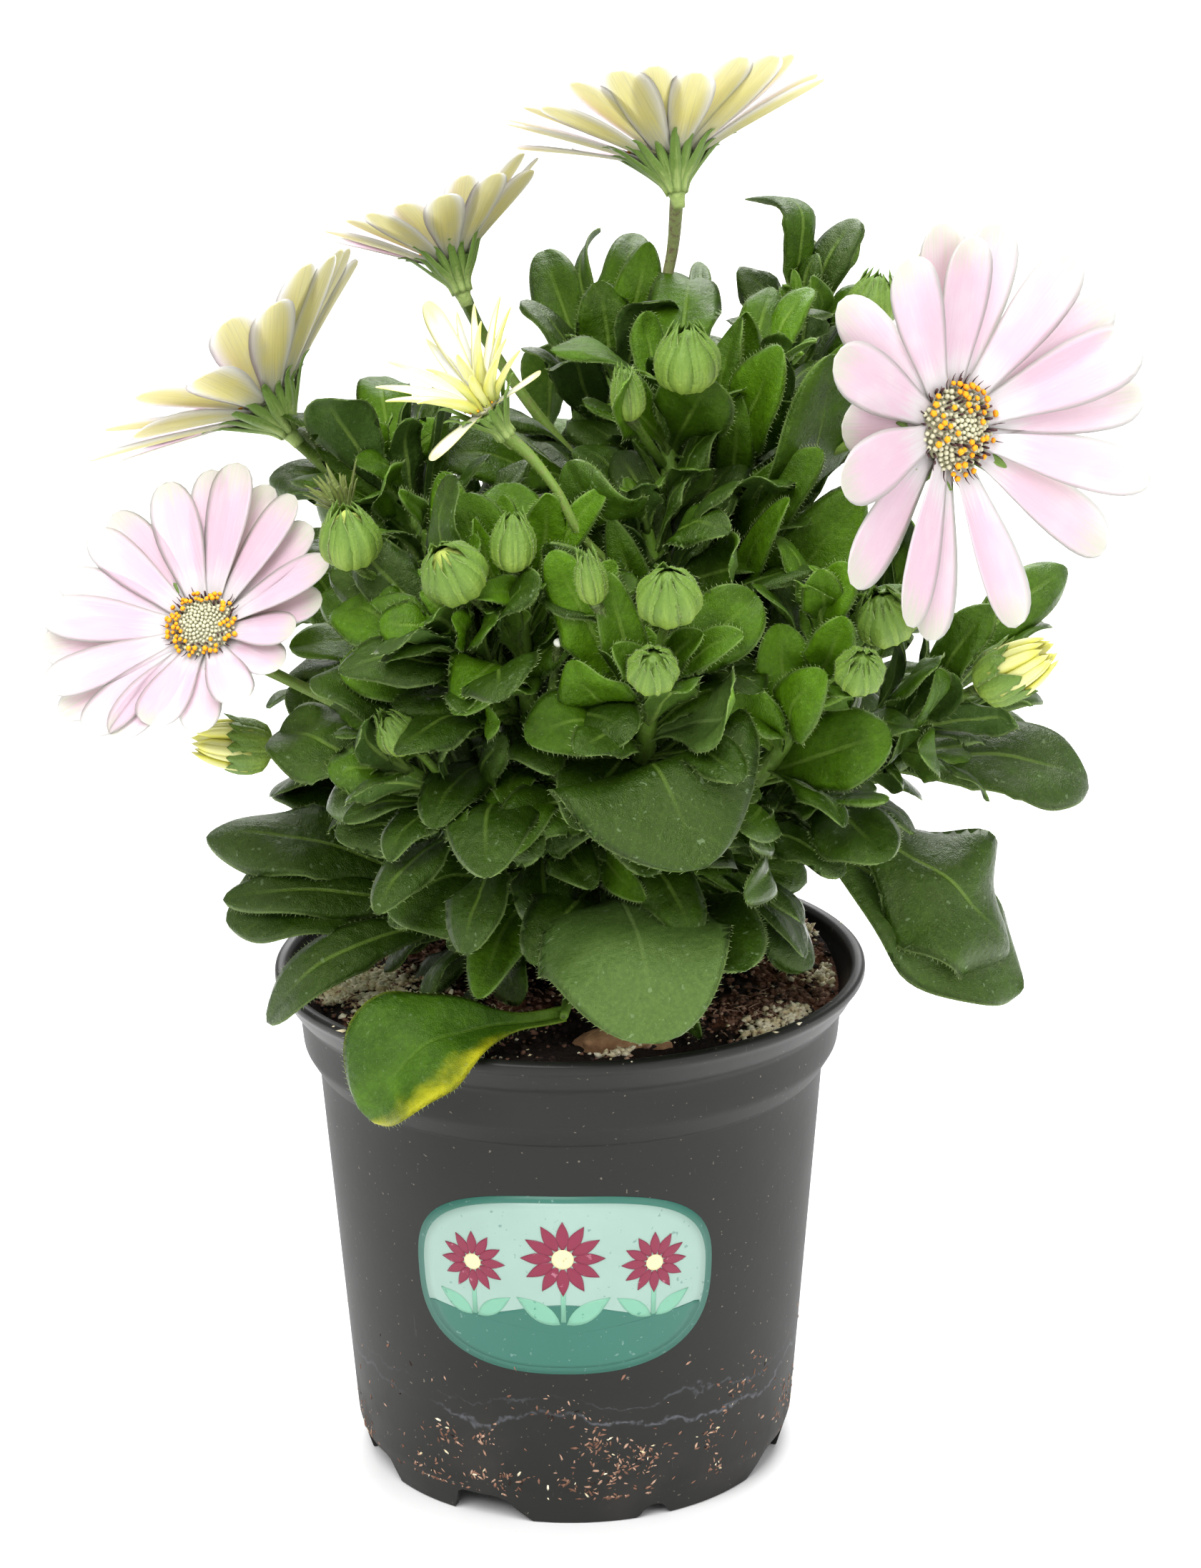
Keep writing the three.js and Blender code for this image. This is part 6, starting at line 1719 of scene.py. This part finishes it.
# %% Crumbs on the wall
# bearing from the front and height of each cluster, its spread and its count
WALL_CLUSTERS = [(6, 18, 2.4, 16), (18, 15, 2.6, 20), (11, 12, 2.2, 16), (-34, 17, 2.6, 12),
                 (-23, 19, 1.2, 6), (-16, 10, 2.4, 10), (-26, 10, 1.4, 6), (-43, 8, 2.6, 9),
                 (-38, 4, 2.6, 11), (3, 9, 2.2, 9),
                 (-3, 11, 1.8, 5), (38, 17, 2.6, 11), (39, 9, 1.6, 7), (10, 3, 1.6, 5), (-4, 26, 2.2, 6),
                 (6, 23, 1.6, 4), (44, 26, 2.2, 6), (54, 28, 2.2, 5), (95, 12, 4, 24), (140, 8, 5, 26),
                 (175, 15, 5, 20), (-150, 10, 5, 24), (-105, 14, 4, 22), (-72, 9, 3, 12), (72, 14, 3, 14)]
WALL_AROUND = 45  # radius of the lower wall, which turns a bearing into a distance
LOOSE_GRAINS = 300
CRUMB_SHARES = [0.04, 0.52, 0.38, 0.06]  # dark, brown, tan and cream
# x, y, height and size of each crumb that lies on the lip
LIP_CRUMBS = np.array([
    (-44.1, -40.6, 105.9, 1.9), (-46.0, -38.0, 105.9, 0.9), (39.9, -43.3, 105.9, 1.6),
    (44.5, -38.8, 105.9, 1.2), (-20.0, -56.0, 105.8, 0.7), (12.0, -58.0, 105.9, 0.6),
    (52.0, -27.0, 105.9, 0.9), (30.0, 50.8, 105.9, 1.4), (-41.0, 42.0, 105.9, 1.2), (56.0, 19.0, 105.9, 1.1)])


def make_wall_crumbs():
    """Crumbs and dust grains that cling to the lower wall."""
    random = np.random.default_rng(12)
    basket = Basket()
    spots = []
    for bearing, height, spread, count in WALL_CLUSTERS:
        spots.append(np.stack([math.radians(bearing) * WALL_AROUND + random.normal(0, spread, 3 * count),
                               height + random.normal(0, 0.8 * spread, 3 * count)], axis=1))
    spots.append(np.stack([random.uniform(-math.pi, math.pi, LOOSE_GRAINS) * WALL_AROUND,
                           2 + 34 * random.uniform(0, 1, LOOSE_GRAINS) ** 1.4], axis=1))
    spots = np.concatenate(spots)
    spots[:, 1] = np.clip(spots[:, 1], 6.5, 40)
    angle = spots[:, 0] / WALL_AROUND - math.pi / 2
    out = np.stack([np.cos(angle), np.sin(angle), np.full(len(angle), -0.08)], axis=1)
    middles = out * [1, 1, 0] * wall_radius(spots[:, 1])[:, None] + np.outer(spots[:, 1], UPWARDS)
    sizes = random.uniform(0.2, 0.7, len(middles)) ** 1.25
    kinds = random.choice(4, len(middles), p=CRUMB_SHARES)
    for kind in range(4):
        mine = kinds == kind
        add_crumbs(basket, middles[mine], out[mine], sizes[mine], kind, 40 + kind, flat=0.5, long=2.8)
    ups = np.tile(UPWARDS, (len(LIP_CRUMBS), 1))
    add_crumbs(basket, LIP_CRUMBS[:, :3], ups, LIP_CRUMBS[:, 3], 3, 50, flat=0.3, long=1.6)
    return make_piece("crumbs_on_the_pot", basket, PEAT_FINISHES, "peat")


wall_crumbs = make_wall_crumbs()
print("wall crumbs:", len(wall_crumbs.data.polygons) // 10)

# %% [markdown]
# ## Potting mix
# The mix is a filled plug: its top is a heap of peat with mounds and hollows, and its sides follow the wall.
# Noise at three sizes roughens the top: slow swells, clumps and grains. Crumbs, fibres and pale crust are
# then strewn over it in patches.

# %% The mix
SOIL_LEVEL = 102.6
SOIL_RADIUS = 54.6
# x, y, spread and rise of each mound; a hollow has a negative rise
MOUNDS = [(38, 36, 24, 5.0), (-30, -8, 20, 1.6), (8, -44, 14, 1.2), (50, -4, 14, -2.2), (-4, -46, 10, -1.5)]
SOIL_SIDE = [(53.4, 97.5), (52.3, 91), (49.4, 84), (43.2, 10), (42.0, 7.6)]  # radius and height
SOIL_RINGS = 60
SOIL_SIDES = 180
# x, y and spread of each patch, and for the pale ones the number of crumbs
BROWN_PATCHES = [(-29, 12, 13), (-14, -18, 12), (46, 4, 12), (50, -10, 10), (36, -24, 10), (-34, -26, 9),
                 (0, 40, 12)]
CREAM_PATCHES = [(-40, -9, 8, 520), (-33, -22, 8, 360), (-47, -14, 5, 180), (-24, -33, 6, 160),
                 (39, -35, 5, 170), (51, 1, 5, 110), (44, -26, 5, 130), (10, -46, 4, 70),
                 (-20, 44, 8, 160), (30, 46, 7, 120), (52, 20, 5, 90)]


def soil_height(x, y):
    """Height of the mix before its grain."""
    height = SOIL_LEVEL + 0 * x
    for mx, my, spread, rise in MOUNDS:
        height = height + rise * np.exp(-((x - mx) ** 2 + (y - my) ** 2) / spread ** 2)
    return height


def grain(x, y):
    """Three sizes of roughness at one place."""
    swell = noise.noise((x * 0.09, y * 0.09, 3.1))
    clump = noise.noise((x * 0.34, y * 0.34, 7.7))
    fine = noise.noise((x * 1.1, y * 1.1, 1.3))
    return 1.1 * swell + 1.2 * max(clump, -0.2) + 0.5 * fine


def soil_finish():
    """Peat: nearly black, with brown fibrous patches and a broken grain."""
    finish = Finish("peat_top", 0.95, Specular_IOR_Level=0.15)
    tone = finish.surface("span").split()[2]
    cloud = finish.noise(finish.object_place(), 160.0, 4.0, 0.7)
    fine = finish.noise(finish.object_place(), 900.0, 3.0, 0.7)
    brown = (tone + (cloud - 0.5) * 1.6).band(0.35, 0.75)
    peat = finish.mix(fine, shade(20, 16, 15), shade(48, 37, 32))
    earth = finish.mix(fine, shade(72, 42, 32), shade(138, 92, 66))
    finish.feed("Base Color", finish.mix(brown, peat, earth))
    finish.bump(fine + cloud, 0.9, 0.0012)
    return finish.material


def top_grain(x, y):
    """Grains of the mix at many places, calmer near the wall."""
    rough = np.array([grain(a, b) for a, b in zip(np.ravel(x), np.ravel(y))]).reshape(np.shape(x))
    return rough * (1 - 0.7 * ease(SOIL_RADIUS - 5, SOIL_RADIUS, np.hypot(x, y)))


def add_lump(basket, middle, size, finish, seed, steps=14):
    """An uneven rounded lump with its own radii in x, y and z."""
    sides = 2 * steps
    rings = [(math.sin(tilt) * math.cos(a), math.sin(tilt) * math.sin(a), math.cos(tilt))
             for tilt in math.pi * np.arange(1, steps) / steps for a in circle(sides)]
    points = [np.array(p) * (1 + 0.28 * noise.noise((2.1 * p[0] + seed, 2.1 * p[1], 2.1 * p[2]))
                             + 0.12 * noise.noise((6 * p[0], 6 * p[1] + seed, 6 * p[2])))
              for p in [(0, 0, 1.0), *rings, (0, 0, -1.0)]]
    basket.add(np.array(points) * size + middle, capped_rings(steps - 1, sides), finish)


def make_soil():
    """The plug of potting mix with its crumbs."""
    random = np.random.default_rng(77)
    basket = Basket()
    radii = np.linspace(0, SOIL_RADIUS, SOIL_RINGS + 1)[1:]
    angle = circle(SOIL_SIDES)
    x, y = np.outer(radii, np.cos(angle)), np.outer(radii, np.sin(angle))
    z = soil_height(x, y) + top_grain(x, y) - 0.8 * ease(SOIL_RADIUS - 3, SOIL_RADIUS, radii)[:, None]
    side = [(radius * math.cos(a), radius * math.sin(a), height) for radius, height in SOIL_SIDE
            for a in angle]
    top = np.stack([x, y, z], axis=-1).reshape(-1, 3)
    points = np.concatenate([[(0, 0, soil_height(0.0, 0.0))], top, side, [(0, 0, SOIL_SIDE[-1][1])]])
    tone = sum(np.exp(-((points[:, 0] - bx) ** 2 + (points[:, 1] - by) ** 2) / s ** 2)
               for bx, by, s in BROWN_PATCHES)
    span = np.column_stack([points[:, :2], np.clip(tone, 0, 1)])
    basket.add(points, capped_rings(SOIL_RINGS + len(SOIL_SIDE), SOIL_SIDES), 4, span, (0, 0, 0.5))

    def strew(spots, sizes, kind, seed, lift=0.1):
        spots = spots[np.hypot(*spots.T) < SOIL_RADIUS - 1.0]
        heights = soil_height(*spots.T) + top_grain(*spots.T) + lift
        ups = UPWARDS + random.normal(0, 0.35, (len(spots), 3))
        chosen = random.uniform(*sizes, len(spots))
        add_crumbs(basket, np.column_stack([spots, heights]), ups, chosen, kind, seed)

    def anywhere(count):
        radius = SOIL_RADIUS * np.sqrt(random.uniform(0, 1, count))
        turn = random.uniform(0, 2 * math.pi, count)
        return np.stack([radius * np.cos(turn), radius * np.sin(turn)], axis=1)

    strew(anywhere(1100), (0.6, 2.2), 0, 1)
    strew(anywhere(600), (0.5, 1.5), 1, 2)
    strew(anywhere(400), (0.4, 1.1), 3, 3)
    for n, (bx, by, spread) in enumerate(BROWN_PATCHES):
        strew(random.normal((bx, by), spread * 0.6, (210, 2)), (0.5, 1.9), 1, 10 + n)
        strew(random.normal((bx, by), spread * 0.6, (90, 2)), (0.4, 1.4), 2, 20 + n)
    for n, (bx, by, spread, count) in enumerate(CREAM_PATCHES):
        strew(random.normal((bx, by), spread * 0.55, (count, 2)), (0.5, 1.9), 3, 30 + n, lift=0.5)
        strew(random.normal((bx, by), spread * 0.65, (count // 3, 2)), (0.4, 1.4), 2, 50 + n, lift=0.4)
    spots = [anywhere(80)] + [random.normal((bx, by), s * 0.6, (18, 2)) for bx, by, s in BROWN_PATCHES]
    spots = np.concatenate(spots)
    spots = spots[np.hypot(*spots.T) < SOIL_RADIUS - 4]
    add_fibres(basket, np.column_stack([spots, soil_height(*spots.T) + 0.7]), 4.5, 0.16, 2, 5)
    add_lump(basket, (10.5, -42.5, 103.2), (8.5, 4.6, 3.4), 5, 8)
    lumps = random.normal((44, 34), 9, (26, 2))
    for n, (lx, ly) in enumerate(lumps[np.hypot(*lumps.T) < SOIL_RADIUS - 4]):
        size = random.uniform(1.2, 2.8)
        middle = (lx, ly, float(soil_height(lx, ly)) + 0.3)
        add_lump(basket, middle, (size * 1.3, size, size * 0.9), 0, 60 + n, 8)
    clump = grain_finish("root_clump", shade(132, 98, 70), shade(176, 136, 100), 220.0, 0.8)
    finishes = [*PEAT_FINISHES, soil_finish(), clump]
    return make_piece("potting_mix_heap", basket, finishes, "peat", "potting_mix")


heap = make_soil()
print("potting mix faces:", len(heap.data.polygons))

# %% [markdown]
# ## The crown
# All the shoots rise from one short woody crown, half sunk in the mix. Its bark is ridged lengthwise and
# flaky, and brown.

# %% Woody crown
CROWN_RADIUS = 5.5
CROWN_MIDDLE = np.array([3.0, -3.0, 0])


def bark_finish():
    """Brown, flaky bark."""
    finish = Finish("bark", 0.85, Specular_IOR_Level=0.2)
    ridges = finish.noise(finish.scaled(finish.object_place(), 900.0, 900.0, 160.0), 1.0, 4.0)
    finish.feed("Base Color", finish.mix(ridges.band(0.35, 0.7), shade(70, 54, 38), shade(138, 118, 84)))
    finish.bump(ridges, 0.8, 0.0008)
    return finish.material


def make_crown():
    """The woody base, turned and then ridged."""
    basket = Basket()
    profile = [(0, 84.2), (2.7, 84.2)]
    profile += [(CROWN_RADIUS * ease(80, 98, z) * (1 - 0.22 * ease(106, 116, z)) + 0.1, z)
                for z in np.linspace(86, 114.5, 30)]
    profile += [(2.4, 115.6), (0, 115.9)]
    add_turned(basket, profile, (0, 0, 0), np.eye(3), 0, 0.5, 36)
    bark = basket.points[0]
    push = [1 + 0.1 * noise.noise((x * 1.3, y * 1.3, z * 0.12)) - 0.03 for x, y, z in bark]
    bark[:, :2] *= np.array(push)[:, None]
    bark += CROWN_MIDDLE
    return make_piece("woody_crown", basket, [bark_finish()], "woody_stem", "crown")


crown = make_crown()
print("crown faces:", len(crown.data.polygons))

# %% [markdown]
# ## Floor and light
# A pale floor and big soft lights keep attention on the plant. One broad light stands high at the front
# left, a weaker one fills from the right, and a third comes from behind and above to edge the leaves.

# %% Stage and lights
FLOOR_HALF = 6.0  # metres
WORLD_STRENGTH = 0.5


def set_stage():
    """A wide pale floor."""
    mesh = bpy.data.meshes.new("floor")
    corners = [(-1, -1), (1, -1), (1, 1), (-1, 1)]
    mesh.from_pydata([(FLOOR_HALF * x, FLOOR_HALF * y, 0) for x, y in corners], [], [(0, 1, 2, 3)])
    finish = Finish("floor_paper", 0.8, Specular_IOR_Level=0.1)
    tint = finish.noise(finish.object_place(), 0.6, 2.0)
    finish.feed("Base Color", finish.mix(tint, (0.93, 0.93, 0.93), (0.9, 0.9, 0.9)))
    mesh.materials.append(finish.material)
    floor = stand("floor", mesh)
    floor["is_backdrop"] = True


def add_light(name, spot, size, power, aim=(0, 0, 0.15)):
    """A square soft light at a spot, turned towards the aim."""
    light = stand(name, bpy.data.lights.new(name, "AREA"))
    light.data.size = size
    light.data.energy = power
    light.location = spot
    light.rotation_euler = (Vector(aim) - Vector(spot)).to_track_quat("-Z", "Y").to_euler()


set_stage()
add_light("key_light", (-0.5, -1.3, 1.7), 1.4, 44)
add_light("top_light", (0.1, 0.1, 1.7), 1.2, 22)
add_light("fill_light", (1.4, -1.1, 0.9), 1.2, 11)
add_light("back_light", (0.3, 1.3, 1.5), 1.2, 20)
add_light("floor_light", (0, 3.2, 1.8), 2.4, 75, aim=(0, 2.6, 0))
world = bpy.data.worlds.new("studio")
world.use_nodes = True
sky = world.node_tree.nodes["Background"].inputs
sky["Color"].default_value = (1, 1, 1, 1)
sky["Strength"].default_value = WORLD_STRENGTH
bpy.context.scene.world = world
bpy.context.scene.view_settings.view_transform = "Standard"

# %% [markdown]
# ## Close the scene
# The boxes round the plain solids and round the finished plant are written side by side. They should agree
# to within a few millimetres, because the fine pieces only fill in what the plain ones sketch.

# %% Measure and finish
fine_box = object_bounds()
counts = [sum(len(p.vertices) - 2 for p in o.data.polygons) for o in bpy.data.objects if o.type == "MESH"]
print("triangles:", sum(counts), "the most in one piece:", max(counts))
for title, box in (("plain", plain_box), ("fine", fine_box)):
    print(title, [[round(v, 3) for v in corner] for corner in box])
